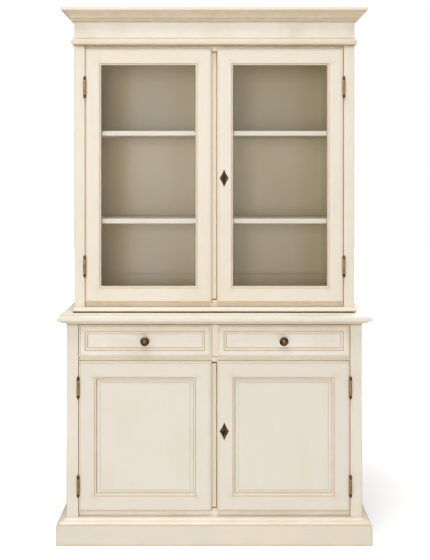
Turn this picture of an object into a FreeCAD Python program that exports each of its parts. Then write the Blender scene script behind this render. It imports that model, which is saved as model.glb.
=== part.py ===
"""Dresser with hutch: a glazed two-door hutch on a base with two drawers and two panelled doors.

Millimetres, +X right, +Y back, +Z up. The origin is on the floor, under the middle of the outline.
Every size stands once in the sheet "dims"; what fits, seats or lines up is worked out from those.
"""
import FreeCAD, Part
import math
import os
import re
import Sketcher

V = FreeCAD.Vector
doc = FreeCAD.newDocument("dresser_with_hutch")
sheet = doc.addObject("Spreadsheet::Sheet", "dims")
aliases = []
nodes = []


class Size:
    """A length that knows its value and the sheet formula it comes from."""

    def __init__(self, value, text):
        self.value = float(value)
        self.text = text

    def joined(self, sign, other, swap=False):
        other = as_size(other)
        first, second = (other, self) if swap else (self, other)
        result = {"+": lambda a, b: a + b, "-": lambda a, b: a - b,
                  "*": lambda a, b: a * b, "/": lambda a, b: a / b}[sign]
        return Size(result(first.value, second.value), f"({first.text} {sign} {second.text})")

    def __add__(self, other):
        return self.joined("+", other)

    def __radd__(self, other):
        return self.joined("+", other, True)

    def __sub__(self, other):
        return self.joined("-", other)

    def __rsub__(self, other):
        return self.joined("-", other, True)

    def __mul__(self, other):
        return self.joined("*", other)

    def __rmul__(self, other):
        return self.joined("*", other, True)

    def __truediv__(self, other):
        return self.joined("/", other)

    def __neg__(self):
        return 0 - self


def as_size(value):
    return value if isinstance(value, Size) else Size(value, repr(value))


def add_cell(name, value, content):
    aliases.append(name)
    row = len(aliases)
    sheet.set(f"A{row}", name)
    sheet.set(f"B{row}", content)
    sheet.setAlias(f"B{row}", name)
    return Size(value, name)


def dim(name, value):
    """A driving dimension: a plain number with an alias."""
    return add_cell(name, value, str(value))


def line(name, size):
    """A plane or length that follows from other cells, kept in the sheet as a formula."""
    return add_cell(name, size.value, "=" + size.text)


def bind(obj, prop, size):
    """Tie a property of an object to its formula in the sheet."""
    text = re.sub(r"[a-z]\w*", lambda m: "dims." + m.group() if m.group() in aliases else m.group(),
                  as_size(size).text)
    obj.setExpression(prop, text)


def place(obj, x=0, y=0, z=0):
    for axis, size in zip("xyz", (x, y, z)):
        bind(obj, f"Placement.Base.{axis}", size)
    return obj


# ---------------------------------------------------------------- driving dimensions
# Base
base_width = dim("base_width", 1180)
base_depth = dim("base_depth", 435)
overhang = dim("overhang", 35)                        # counter and plinth beyond the posts
plinth_height = dim("plinth_height", 80)
plinth_cap_height = dim("plinth_cap_height", 21)
plinth_ledge = dim("plinth_ledge", 7)                 # plinth top left bare in front of its cap
base_post = dim("base_post", 46)
bottom_reveal = dim("bottom_reveal", 21)              # rail seen under the lower doors
lower_door_height = dim("lower_door_height", 601)
middle_reveal = dim("middle_reveal", 17)              # rail seen between doors and drawers
drawer_front_height = dim("drawer_front_height", 129)
divider_reveal = dim("divider_reveal", 24)            # divider seen between the drawers
top_reveal = dim("top_reveal", 2)                     # gap over the drawers
counter_mould_height = dim("counter_mould_height", 15)
counter_mould_reach = dim("counter_mould_reach", 25)
counter_thick = dim("counter_thick", 20)
# Hutch
hutch_inset = dim("hutch_inset", 18)                  # hutch's sides in from the base's
hutch_width = line("hutch_width", base_width - hutch_inset * 2)
hutch_step = dim("hutch_step", 84)                    # hutch's face behind the base's
hutch_depth = line("hutch_depth", base_depth - hutch_step)
hutch_post = dim("hutch_post", 42)
shadow_gap = dim("shadow_gap", 3)                     # under the hutch's base moulding
foot_mould_height = dim("foot_mould_height", 19)
foot_mould_reach = dim("foot_mould_reach", 7)
hutch_bottom_reveal = dim("hutch_bottom_reveal", 15.5)
upper_door_height = dim("upper_door_height", 1043)
hutch_top_reveal = dim("hutch_top_reveal", 9.5)
bead_height = dim("bead_height", 31)
bead_reach = dim("bead_reach", 10)
frieze_height = dim("frieze_height", 65)              # plain frieze between bead and cornice
frieze_proud = dim("frieze_proud", 1)
cornice_height = dim("cornice_height", 54)
cornice_reach = dim("cornice_reach", 46)
# Boards and fits
front_thick = dim("front_thick", 22)                  # doors and drawer fronts
rail_thick = dim("rail_thick", 22)
side_thick = dim("side_thick", 20)
post_setback = dim("post_setback", 6)                 # side boards behind the posts' inner faces
panel_thick = dim("panel_thick", 8)                   # back panels
floor_thick = dim("floor_thick", 18)
stop_gap = dim("stop_gap", 1)                         # fronts to the rails behind them
side_gap = dim("side_gap", 1.5)                       # fronts to the posts
lower_lap = dim("lower_lap", 6)                       # base fronts over the rails
upper_lap = dim("upper_lap", 10)                      # glazed doors over the rails
meeting_gap = dim("meeting_gap", 22)                  # between the two doors of a pair
# Door frames
edge_width = dim("edge_width", 8)                     # moulded edge round every front
edge_step = dim("edge_step", 1)
edge_round = dim("edge_round", 5.5)
lower_frame = dim("lower_frame", 62)                  # flat of the stiles and rails
lower_stick = dim("lower_stick", 10)                  # moulding on their inner edges
lower_stick_round = dim("lower_stick_round", 8)
upper_stile = dim("upper_stile", 57.5)
upper_rail = dim("upper_rail", 61)
upper_stick = dim("upper_stick", 8.5)
upper_stick_round = dim("upper_stick_round", 5.5)
panel_lip = dim("panel_lip", 10)                      # front of the frame to the panel
panel_tongue = dim("panel_tongue", 8)
panel_plate = dim("panel_plate", 6)
panel_band = dim("panel_band", 13)                    # flat round the raised field
panel_raise = dim("panel_raise", 4)
panel_slope = dim("panel_slope", 3)
glass_lip = dim("glass_lip", 9)
glass_rebate = dim("glass_rebate", 9)
glass_thick = dim("glass_thick", 4)
glazing_gap = dim("glazing_gap", 0.5)
strip_lap = dim("strip_lap", 25)                      # closing strip on the back of the left door
strip_thick = dim("strip_thick", 12)
strip_gap = dim("strip_gap", 2.5)                     # strip to the right door's edge
strip_end_gap = dim("strip_end_gap", 4)               # strip to the rails
# Drawers
drawer_border = dim("drawer_border", 25.5)
drawer_stick = dim("drawer_stick", 10.5)
drawer_stick_round = dim("drawer_stick_round", 6)
drawer_recess = dim("drawer_recess", 8)
drawer_back_gap = dim("drawer_back_gap", 30)          # drawer box to the back panel
drawer_box_depth = line("drawer_box_depth",
                        base_depth - front_thick - base_post / 2 - drawer_back_gap)
drawer_box_height = dim("drawer_box_height", 112)
drawer_side = dim("drawer_side", 12)
drawer_bottom = dim("drawer_bottom", 6)
drawer_groove = dim("drawer_groove", 6)
drawer_bottom_rise = dim("drawer_bottom_rise", 9)
drawer_gap = dim("drawer_gap", 1.5)
drawer_lift = dim("drawer_lift", 0.3)
runner_width = dim("runner_width", 28)
runner_thick = dim("runner_thick", 20)
guide_height = dim("guide_height", 24)
# Shelves
shelf_thick = dim("shelf_thick", 19)
shelf_setback = dim("shelf_setback", 40)
shelf_end_gap = dim("shelf_end_gap", 2)
lower_shelf_rise = dim("lower_shelf_rise", 314.5)     # hutch floor to the lower shelf
middle_space = dim("middle_space", 344)               # lower shelf to the upper one
cupboard_shelf_rise = dim("cupboard_shelf_rise", 282)
cupboard_shelf_setback = dim("cupboard_shelf_setback", 50)
pin_radius = dim("pin_radius", 2.5)
pin_inset = dim("pin_inset", 36)
pin_reach = dim("pin_reach", 18)
pin_depth = dim("pin_depth", 10)
back_stile = dim("back_stile", 52)
back_bottom_rail = dim("back_bottom_rail", 127)
back_top_rail = dim("back_top_rail", 28)
back_thick = dim("back_thick", 18)
frame_rail = dim("frame_rail", 70)                    # rails of the carcass sides
# Hinges
hinge_barrel = dim("hinge_barrel", 6)                 # radius
hinge_knuckle = dim("hinge_knuckle", 25)
hinge_finial = dim("hinge_finial", 22)
hinge_pin = dim("hinge_pin", 2.5)                     # radius
hinge_pin_play = dim("hinge_pin_play", 0.08)
hinge_ring_gap = dim("hinge_ring_gap", 0.4)
hinge_clear = dim("hinge_clear", 0.5)                 # barrel to the faces behind it
leaf_thick = dim("leaf_thick", 1.5)
leaf_sunk = dim("leaf_sunk", 1)
leaf_depth = dim("leaf_depth", 17)
upper_hinge_top = dim("upper_hinge_top", 160)         # door's top to the hinge's middle
upper_hinge_bottom = dim("upper_hinge_bottom", 151)
lower_hinge_end = dim("lower_hinge_end", 104)
# Locks, bolts and knobs
lock_inset = dim("lock_inset", 29)                    # door's edge to the keyhole
upper_lock_rise = dim("upper_lock_rise", 511.5)       # door's bottom to the keyhole
lower_lock_rise = dim("lower_lock_rise", 322)
plate_width = dim("plate_width", 37)
plate_height = dim("plate_height", 74)
plate_thick = dim("plate_thick", 1.6)
keyhole_radius = dim("keyhole_radius", 3)
keyhole_drop = dim("keyhole_drop", 11)
lock_width = dim("lock_width", 54)
lock_height = dim("lock_height", 44)
lock_thick = dim("lock_thick", 18)
lock_edge = dim("lock_edge", 2)                       # door's edge to the lock case
bolt_width = dim("bolt_width", 14)
bolt_thick = dim("bolt_thick", 3)
bolt_length = dim("bolt_length", 30)
bolt_play = dim("bolt_play", 0.4)
rod_radius = dim("rod_radius", 3.5)
rod_length = dim("rod_length", 96)
rod_play = dim("rod_play", 0.5)
rod_end_gap = dim("rod_end_gap", 2)
keeper_height = dim("keeper_height", 15)              # block that takes the bolt, under the rail
keeper_thick = dim("keeper_thick", 5)
guard_width = dim("guard_width", 16)
guard_height = dim("guard_height", 70)
guard_plate = dim("guard_plate", 3)
guard_block_height = dim("guard_block_height", 9)
knob_radius = dim("knob_radius", 17.5)
knob_reach = dim("knob_reach", 30)
knob_foot = dim("knob_foot", 9)
knob_neck = dim("knob_neck", 6)
screw_radius = dim("screw_radius", 2)
screw_head = dim("screw_head", 4.5)

# ---------------------------------------------------------------- planes that follow from them
back = line("back", (base_depth + overhang) / 2)
base_front = line("base_front", back - base_depth)
hutch_front = line("hutch_front", back - hutch_depth)
base_half = line("base_half", base_width / 2)
hutch_half = line("hutch_half", hutch_width / 2)
base_inner = line("base_inner", base_half - base_post)
hutch_inner = line("hutch_inner", hutch_half - hutch_post)
recess = line("recess", front_thick + stop_gap)       # rails behind the posts' faces
base_rail_front = line("base_rail_front", base_front + recess)
base_rail_back = line("base_rail_back", base_rail_front + rail_thick)
hutch_rail_front = line("hutch_rail_front", hutch_front + recess)
hutch_rail_back = line("hutch_rail_back", hutch_rail_front + rail_thick)
half_meeting = line("half_meeting", meeting_gap / 2)
half_divider = line("half_divider", divider_reveal / 2)

cap_top = line("cap_top", plinth_height + plinth_cap_height)
lower_door_bottom = line("lower_door_bottom", cap_top + bottom_reveal)
lower_door_top = line("lower_door_top", lower_door_bottom + lower_door_height)
drawer_low = line("drawer_low", lower_door_top + middle_reveal)
drawer_high = line("drawer_high", drawer_low + drawer_front_height)
counter_mould_low = line("counter_mould_low", drawer_high + top_reveal)
counter_low = line("counter_low", counter_mould_low + counter_mould_height)
counter_high = line("counter_high", counter_low + counter_thick)
base_floor_top = line("base_floor_top", lower_door_bottom + lower_lap)
drawer_opening_low = line("drawer_opening_low", drawer_low + lower_lap)
drawer_opening_high = line("drawer_opening_high", drawer_high - lower_lap)
base_rail_low = line("base_rail_low", plinth_height - rail_thick)

foot_mould_low = line("foot_mould_low", counter_high + shadow_gap)
foot_mould_high = line("foot_mould_high", foot_mould_low + foot_mould_height)
upper_door_bottom = line("upper_door_bottom", foot_mould_high + hutch_bottom_reveal)
upper_door_top = line("upper_door_top", upper_door_bottom + upper_door_height)
hutch_floor_top = line("hutch_floor_top", upper_door_bottom + upper_lap)
hutch_rail_low = line("hutch_rail_low", upper_door_top - upper_lap)
frieze_low = line("frieze_low", upper_door_top + hutch_top_reveal)
cornice_low = line("cornice_low", frieze_low + bead_height + frieze_height)
cornice_high = line("cornice_high", cornice_low + cornice_height)
frieze_half = line("frieze_half", hutch_half + frieze_proud)
frieze_front = line("frieze_front", hutch_front - frieze_proud)
frieze_thick = line("frieze_thick", recess + frieze_proud)
doc.recompute()


# ---------------------------------------------------------------- building blocks
def board(label, x, y, z):
    """A straight board between three pairs of planes."""
    box = doc.addObject("Part::Box", label)
    for prop, (low, high) in zip(("Length", "Width", "Height"), (x, y, z)):
        bind(box, prop, high - as_size(low))
    return place(box, x[0], y[0], z[0])


def rod(label, radius, length, x, y, z, axis=V(0, 0, 1)):
    """A round bar from a point along an axis."""
    cylinder = doc.addObject("Part::Cylinder", label)
    bind(cylinder, "Radius", radius)
    bind(cylinder, "Height", length)
    cylinder.Placement.Rotation = FreeCAD.Rotation(V(0, 0, 1), axis)
    return place(cylinder, x, y, z)


def mirrored(source):
    """The same piece on the other side of the middle."""
    twin = doc.addObject("Part::Mirroring", source.Name + "_twin")
    twin.Source = source
    twin.Normal = V(1, 0, 0)
    return twin


def both(source):
    return [source, mirrored(source)]


def group(label, pieces):
    compound = doc.addObject("Part::Compound", label)
    compound.Links = pieces
    return compound


def cut(label, base, tools):
    result = doc.addObject("Part::Cut", label)
    result.Base = base
    result.Tool = tools[0] if len(tools) == 1 else group(label + "_tools", tools)
    return result


def fused(label, pieces):
    result = doc.addObject("Part::MultiFuse", label)
    result.Shapes = pieces
    return result


def moved(label, source, x=0, y=0, z=0):
    """A second copy of a piece, shifted."""
    return place(group(label, [source]), x, y, z)


def node(label, pieces):
    """A sub-part: one piece, or several like ones as separate solids."""
    nodes.append(group(label, pieces))
    return nodes[-1]


def body(label):
    return doc.addObject("PartDesign::Body", label)


def sketch(owner, role, *outlines):
    """Closed outlines on one of a body's planes. A corner is (x, y) or (x, y, bulge): the bulge
    is that of the edge to the next corner, the tangent of a quarter of its angle, and outlines
    run anticlockwise, so a positive one is round and a negative one hollow."""
    drawn = owner.newObject("Sketcher::SketchObject", owner.Name + "_sketch")
    plane = next(item for item in owner.Origin.OriginFeatures if item.Role == role)
    drawn.AttachmentSupport = [(plane, "")]
    drawn.MapMode = "FlatFace"
    for outline in outlines:
        draw(drawn, [(as_size(c[0]), as_size(c[1]), c[2] if len(c) > 2 else 0) for c in outline])
    return drawn


def draw(drawn, corners):
    ends = []
    for index, (x, y, bulge) in enumerate(corners):
        next_x, next_y, _ = corners[(index + 1) % len(corners)]
        start = V(x.value, y.value, 0)
        chord = V(next_x.value, next_y.value, 0) - start
        if not bulge:
            edge = drawn.addGeometry(Part.LineSegment(start, start + chord), False)
            ends.append((edge, 1, 2))
            continue
        side = V(-chord.y, chord.x, 0) * ((1 - bulge ** 2) / (4 * bulge))
        centre = start + chord / 2 + side
        angles = [math.atan2(p.y - centre.y, p.x - centre.x) for p in (start, start + chord)]
        first, last = angles if bulge > 0 else reversed(angles)
        circle = Part.Circle(centre, V(0, 0, 1), (start - centre).Length)
        edge = drawn.addGeometry(Part.ArcOfCircle(circle, first, last), False)
        ends.append((edge, 1, 2) if bulge > 0 else (edge, 2, 1))
        across, up = next_x - x, next_y - y
        share = (1 + bulge ** 2) / (4 * abs(bulge))
        radius = Size((start - centre).Length, f"(sqrt({across.text}^2 + {up.text}^2) * {share})")
        index_of = drawn.addConstraint(Sketcher.Constraint("Radius", edge, radius.value))
        bind(drawn, f"Constraints[{index_of}]", radius)
    for index, (edge, start, end) in enumerate(ends):
        following, its_start, _ = ends[(index + 1) % len(ends)]
        drawn.addConstraint(Sketcher.Constraint("Coincident", edge, end, following, its_start))
        for kind, size, axis in (("DistanceX", corners[index][0], -2),
                                 ("DistanceY", corners[index][1], -1)):
            if size.value == 0:
                drawn.addConstraint(Sketcher.Constraint("PointOnObject", edge, start, axis))
                continue
            index_of = drawn.addConstraint(
                Sketcher.Constraint(kind, -1, 1, edge, start, size.value))
            bind(drawn, f"Constraints[{index_of}]", size)


def rectangle(x0, x1, y0, y1):
    return [(x0, y0), (x1, y0), (x1, y1), (x0, y1)]


def pad(owner, role, length, *outlines, backwards=True):
    """Adds material. On XZ_Plane, backwards is towards +Y."""
    feature = owner.newObject("PartDesign::Pad", owner.Name + "_pad")
    feature.Profile = sketch(owner, role, *outlines)
    feature.Reversed = backwards
    bind(feature, "Length", length)
    return feature


def pocket(owner, role, length, *outlines, through=False, midplane=False):
    """Takes material away, from XZ_Plane towards +Y."""
    feature = owner.newObject("PartDesign::Pocket", owner.Name + "_pocket")
    feature.Profile = sketch(owner, role, *outlines)
    if through:
        feature.Type = 1
        feature.Midplane = midplane
    else:
        bind(feature, "Length", length)
    return feature


def round_edges(owner, kind, prop, size, wanted):
    """Rounds or bevels the edges whose middle point passes a test."""
    doc.recompute()
    base = owner.Tip
    names = [f"Edge{number}" for number, edge in enumerate(base.Shape.Edges, 1)
             if wanted(edge.valueAt((edge.FirstParameter + edge.LastParameter) / 2))]
    feature = owner.newObject(kind, owner.Name + "_edges")
    feature.Base = (base, names)
    bind(feature, prop, size)
    return feature


def turned(label, outline):
    """A turned piece: half an outline (radius, height) spun about the vertical."""
    piece = body(label)
    feature = piece.newObject("PartDesign::Revolution", label + "_turn")
    profile = sketch(piece, "XZ_Plane", outline)
    feature.Profile = profile
    feature.ReferenceAxis = (profile, ["V_Axis"])
    feature.Angle = 360
    return piece


def near(value, size, tolerance=0.01):
    return abs(value - as_size(size).value) < tolerance


# ---------------------------------------------------------------- mouldings
def moulding_leg(label, outline, reach, length, far_mitre):
    """A length of moulding: the profile (out, up) run back along +Y and mitred at its front
    end, and at its far end too for a front length. reach is the mitre's depth."""
    leg = body(label)
    pad(leg, "XZ_Plane", length, outline)
    pocket(leg, "XY_Plane", None, [(0, 0), (reach, 0), (0, reach)], through=True, midplane=True)
    if far_mitre:
        far = [(0, length - reach), (reach, length), (0, length)]
        pocket(leg, "XY_Plane", None, far, through=True, midplane=True)
    return leg


def moulding(label, outline, projection, half_width, front, low):
    """A front length and two returns, mitred at the corners and run to the back."""
    reach = projection * 1.5
    front_leg = moulding_leg(label + "_front", outline, reach, (half_width + reach) * 2, True)
    front_leg.Placement.Rotation = FreeCAD.Rotation(V(0, 0, 1), -90)
    place(front_leg, -(half_width + reach), front, low)
    side_leg = moulding_leg(label + "_side", outline, reach, back - front + reach, False)
    place(side_leg, half_width, front - reach, low)
    return node(label, [front_leg] + both(side_leg))


def cornice_outline(out, up):
    return [(0, 0), (out * 0.03, 0, 0.3), (out * 0.25, up * 0.16), (out * 0.25, up * 0.2),
            (out * 0.37, up * 0.27), (out * 0.37, up * 0.36), (out * 0.39, up * 0.36, -0.2),
            (out * 0.87, up * 0.77), (out * 0.97, up * 0.785), (out, up * 0.79), (out, up), (0, up)]


def bead_outline(out, up):
    return [(0, 0), (out * 0.2, 0), (out * 0.2, up * 0.13), (out * 0.36, up * 0.13, 0.3),
            (out, up * 0.42), (out, up * 0.54, 0.3), (out * 0.84, up * 0.64, -0.15),
            (out * 0.05, up), (0, up)]


def foot_outline(out, up):
    return [(0, 0), (out * 0.5, 0, 0.35), (out, up * 0.19), (out, up * 0.37, -0.12),
            (out * 0.08, up), (0, up)]


def counter_outline(out, up):
    return [(0, 0), (out * 0.05, 0), (out * 0.1, up * 0.08, -0.22), (out * 0.5, up * 0.46, 0.22),
            (out, up * 0.92), (out, up), (0, up)]


def cap_outline(out, up):
    return [(0, 0), (out * 0.95, 0), (out, up * 0.12, 0.3), (out * 0.62, up * 0.52, -0.3),
            (out * 0.14, up * 0.9), (out * 0.14, up), (0, up)]


# ---------------------------------------------------------------- base carcass
def plinth():
    square = [(0, 0), (overhang, 0), (overhang, plinth_height), (0, plinth_height)]
    moulding("plinth_boards", square, overhang, base_half, base_front, 0)
    cap = overhang - plinth_ledge
    moulding("plinth_cap_moulding", cap_outline(cap, plinth_cap_height), cap,
             base_half, base_front, plinth_height)


def base_posts(leaves):
    """Four square posts from the floor to the counter; the front ones are let in for the hinges."""
    height = (0, counter_low)
    front = board("base_front_post", (base_inner, base_half), (base_front, base_front + base_post),
                  height)
    rear = board("base_rear_post", (base_inner, base_half), (back - base_post, back), height)
    posts = [cut("base_left_front_post", mirrored(front), leaves),
             cut("base_right_front_post", front, [mirrored(leaf) for leaf in leaves])]
    return node("base_corner_posts", posts + both(rear))


def rebated_rail(label, half, front, low, step, high, flush_low=True):
    """A rail with one part flush with the posts and the other set back behind the fronts."""
    rail = body(label)
    deep = recess + rail_thick
    if flush_low:
        section = [(0, 0), (deep, 0), (deep, high - low), (recess, high - low),
                   (recess, step - low), (0, step - low)]
    else:
        section = [(recess, 0), (deep, 0), (deep, high - low), (0, high - low),
                   (0, step - low), (recess, step - low)]
    pad(rail, "YZ_Plane", half * 2, section, backwards=False)
    return place(rail, -half, front, low)


def base_rails(bolt_keeper):
    bottom = rebated_rail("base_bottom_rail", base_inner, base_front, base_rail_low, cap_top,
                          base_floor_top)
    middle = board("base_middle_rail", (-base_inner, base_inner),
                   (base_rail_front, base_rail_back),
                   (lower_door_top - lower_lap, drawer_opening_low))
    top = rebated_rail("base_top_rail", base_inner, base_front, drawer_opening_high,
                       counter_mould_low, counter_low, flush_low=False)
    node("base_front_rails", [bottom, middle, top, bolt_keeper])
    node("drawer_divider", [board("divider", (-half_divider - lower_lap, half_divider + lower_lap),
                                  (base_rail_front, base_rail_back),
                                  (drawer_opening_low, drawer_opening_high))])


def base_sides():
    """Framed sides and back: boards and panels with the rails between the posts."""
    side_y = (base_front + base_post, back - base_post)
    inner = base_inner + post_setback
    outer = inner + side_thick
    side = board("base_side_board", (inner, outer), side_y, (base_rail_low, counter_low))
    top = board("base_side_top_rail", (outer, base_half), side_y,
                (counter_low - frame_rail, counter_low))
    bottom = board("base_side_bottom_rail", (outer, base_half), side_y,
                   (base_rail_low, cap_top + frame_rail))
    panel_y = (back - base_post / 2, back - base_post / 2 + panel_thick)
    rear_y = (panel_y[0] - rail_thick, panel_y[0])
    full = (-base_inner, base_inner)
    runner_low = drawer_opening_low - runner_thick
    rear = [board("base_rear_bottom_rail", full, rear_y,
                  (base_rail_low, base_floor_top - floor_thick)),
            board("base_rear_middle_rail", full, rear_y, (runner_low - frame_rail, runner_low)),
            board("base_rear_top_rail", full, rear_y, (counter_low - runner_thick, counter_low))]
    node("base_frame_rails", both(top) + both(bottom) + rear)
    node("base_back_panel", [board("base_back", full, panel_y, (base_rail_low, counter_low))])
    return side, inner, rear_y[0], panel_y[0]


def base_inside(side, inner, panel_front, posts):
    floor = board("base_floor_board", (-inner, inner), (base_rail_back, panel_front),
                  (base_floor_top - floor_thick, base_floor_top))
    node("base_floor", [cut("base_floor_notched", floor, [posts])])
    shelf_low = base_floor_top + cupboard_shelf_rise
    front = base_front + cupboard_shelf_setback
    rear = back - base_post - shelf_end_gap
    half = base_inner - shelf_end_gap
    node("cupboard_shelf", [board("cupboard_shelf_board", (-half, half), (front, rear),
                                  (shelf_low, shelf_low + shelf_thick))])
    pins = shelf_pins("cupboard", inner, (front, rear), shelf_low)
    node("base_side_panels", both(cut("base_side_bored", side, pins)))
    return pins


def shelf_pins(label, inner, span, shelf_low):
    """The right side's two pins, let into the side board, with the shelf resting on them."""
    return [rod(f"{label}_{name}_pin", pin_radius, pin_reach + pin_depth,
                inner - pin_reach, y, shelf_low - pin_radius, V(1, 0, 0))
            for name, y in (("front", span[0] + pin_inset), ("rear", span[1] - pin_inset))]


def drawer_slides(inner, rear_rail, panel_front):
    """Runners under the drawers, guides beside them and kickers over them."""
    low = drawer_opening_low
    runner_z = (low - runner_thick, low)
    kicker_z = (drawer_opening_high, counter_low)
    middle = half_divider + lower_lap + runner_width
    side_x = (base_inner - runner_width, base_inner)
    runner_y = (base_rail_back, panel_front)
    kicker_y = (base_rail_back, rear_rail)
    guide_y = (base_front + base_post, back - base_post)
    centre_guide = (-half_divider - lower_lap, half_divider + lower_lap)
    pieces = both(board("side_runner", side_x, runner_y, runner_z))
    pieces += [board("centre_runner", (-middle, middle), runner_y, runner_z),
               board("centre_guide", centre_guide, kicker_y, (low, low + guide_height)),
               board("centre_kicker", (-middle, middle), kicker_y, kicker_z)]
    pieces += both(board("side_guide", (base_inner, inner), guide_y, (low, low + guide_height)))
    pieces += both(board("side_kicker", side_x, kicker_y, kicker_z))
    node("drawer_runners", pieces)


def counter():
    """One wide board with its front and side edges rounded, more above than below."""
    top = body("counter_board")
    width = (base_half + overhang) * 2
    depth = base_depth + overhang
    pad(top, "XY_Plane", counter_thick, rectangle(0, width, 0, depth), backwards=False)

    def on_edge(height):
        return lambda p: near(p.z, height) and not near(p.y, depth)

    round_edges(top, "PartDesign::Fillet", "Radius", counter_thick * 0.4, on_edge(counter_thick))
    round_edges(top, "PartDesign::Fillet", "Radius", counter_thick * 0.2, on_edge(0))
    place(top, -(base_half + overhang), -back, counter_low)
    node("counter_top", [top])
    moulding("counter_moulding", counter_outline(counter_mould_reach, counter_mould_height),
             counter_mould_reach, base_half, base_front, counter_mould_low)


# ---------------------------------------------------------------- hutch carcass
def hutch_carcass(leaves, bolt_keeper):
    height = (counter_high, frieze_low)
    post = board("hutch_front_post", (hutch_inner, hutch_half),
                 (hutch_front, hutch_front + hutch_post), height)
    rear = board("hutch_rear_post", (hutch_inner, hutch_half), (back - hutch_post, back), height)
    posts = node("hutch_corner_posts",
                 [cut("hutch_left_front_post", mirrored(post), leaves),
                  cut("hutch_right_front_post", post, [mirrored(leaf) for leaf in leaves])]
                 + both(rear))
    inner = hutch_inner + post_setback
    outer = inner + side_thick
    side_y = (hutch_front + hutch_post, back - hutch_post)
    side = board("hutch_side_board", (inner, outer), side_y, height)
    top_rail = board("hutch_side_top_rail", (outer, hutch_half), side_y,
                     (frieze_low - frame_rail, frieze_low))
    bottom_rail = board("hutch_side_bottom_rail", (outer, hutch_half), side_y,
                        (counter_high, foot_mould_high + frame_rail))
    bottom = rebated_rail("hutch_bottom_rail", hutch_inner, hutch_front, counter_high,
                          foot_mould_high, hutch_floor_top)
    top = board("hutch_top_rail", (-hutch_inner, hutch_inner), (hutch_rail_front, hutch_rail_back),
                (hutch_rail_low, frieze_low + bead_height + rail_thick))
    node("hutch_rails", [bottom, top, bolt_keeper] + both(top_rail) + both(bottom_rail))
    panel_y = (hutch_rail_back, back - back_thick)
    floor = board("hutch_floor_board", (-inner, inner), panel_y,
                  (hutch_floor_top - floor_thick, hutch_floor_top))
    ceiling = board("hutch_ceiling", (-inner, inner), panel_y, (frieze_low - floor_thick, frieze_low))
    node("hutch_floor", [cut("hutch_floor_notched", floor, [posts])])
    node("hutch_top_board", [cut("hutch_ceiling_notched", ceiling, [posts])])
    hutch_back()
    moulding("hutch_base_moulding", foot_outline(foot_mould_reach, foot_mould_height),
             foot_mould_reach, hutch_half, hutch_front, foot_mould_low)

    span = (hutch_front + shelf_setback, back - back_thick - shelf_end_gap)
    half = hutch_inner - shelf_end_gap
    lower = hutch_floor_top + lower_shelf_rise
    upper = lower + shelf_thick + middle_space
    pins = []
    for label, low in (("lower_shelf", lower), ("upper_shelf", upper)):
        node(label, [board(label + "_board", (-half, half), span, (low, low + shelf_thick))])
        pins += shelf_pins(label, inner, (span[0], back - hutch_post), low)
    node("hutch_side_panels", both(cut("hutch_side_bored", side, pins)))
    return pins


def hutch_back():
    """A framed back: two stiles and two rails grooved for a thin panel."""
    y = (back - back_thick, back)
    z = (counter_high, frieze_low)
    clear = hutch_inner - back_stile
    stile = board("back_stile_board", (clear, hutch_inner), y, z)
    low = board("back_bottom_rail_board", (-clear, clear), y, (z[0], z[0] + back_bottom_rail))
    high = board("back_top_rail_board", (-clear, clear), y, (z[1] - back_top_rail, z[1]))
    middle = back - back_thick / 2
    grip = clear + panel_tongue
    panel = board("hutch_back_board", (-grip, grip), (middle - panel_plate / 2, middle + panel_plate / 2),
                  (z[0] + back_bottom_rail - panel_tongue, z[1] - back_top_rail + panel_tongue))
    members = [mirrored(stile), stile, low, high]
    node("hutch_back_frame",
         [cut(f"back_member_{index}", piece, [panel]) for index, piece in enumerate(members)])
    node("hutch_back_panel", [panel])


def frieze_and_cornice():
    """Mitred frieze boards standing on the posts, with a straight board across the back."""
    height = cornice_high - frieze_low
    inner_half = frieze_half - frieze_thick
    inner_front = frieze_front + frieze_thick
    section = [(0, 0), (frieze_thick, 0), (frieze_thick, height), (0, height)]
    reach = frieze_thick * 1.5
    front_leg = moulding_leg("frieze_front_board", section, reach, (inner_half + reach) * 2, True)
    front_leg.Placement.Rotation = FreeCAD.Rotation(V(0, 0, 1), -90)
    place(front_leg, -(inner_half + reach), inner_front, frieze_low)
    side_leg = moulding_leg("frieze_side_board", section, reach, back - inner_front + reach, False)
    place(side_leg, inner_half, inner_front - reach, frieze_low)
    rear = board("frieze_rear_board", (-inner_half, inner_half), (back - frieze_thick, back),
                 (frieze_low, cornice_high))
    node("frieze_boards", [front_leg] + both(side_leg) + [rear])
    moulding("frieze_bead_moulding", bead_outline(bead_reach, bead_height), bead_reach,
             frieze_half, frieze_front, frieze_low)
    moulding("cornice_moulding", cornice_outline(cornice_reach, cornice_height), cornice_reach,
             frieze_half, frieze_front, cornice_low)


# ---------------------------------------------------------------- hinges
hinge_length = line("hinge_length", (hinge_finial + hinge_knuckle) * 2 + hinge_ring_gap)
hinge_axis_out = line("hinge_axis_out", hinge_barrel + hinge_clear)


def turned_tip(low, sign):
    """Corners of a turned tip, from the knuckle outwards: as wide as the barrel, then a cone."""
    return [(hinge_barrel * out, low + hinge_finial * (along * sign))
            for out, along in ((1, 0.6), (0.25, 1))]


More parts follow.
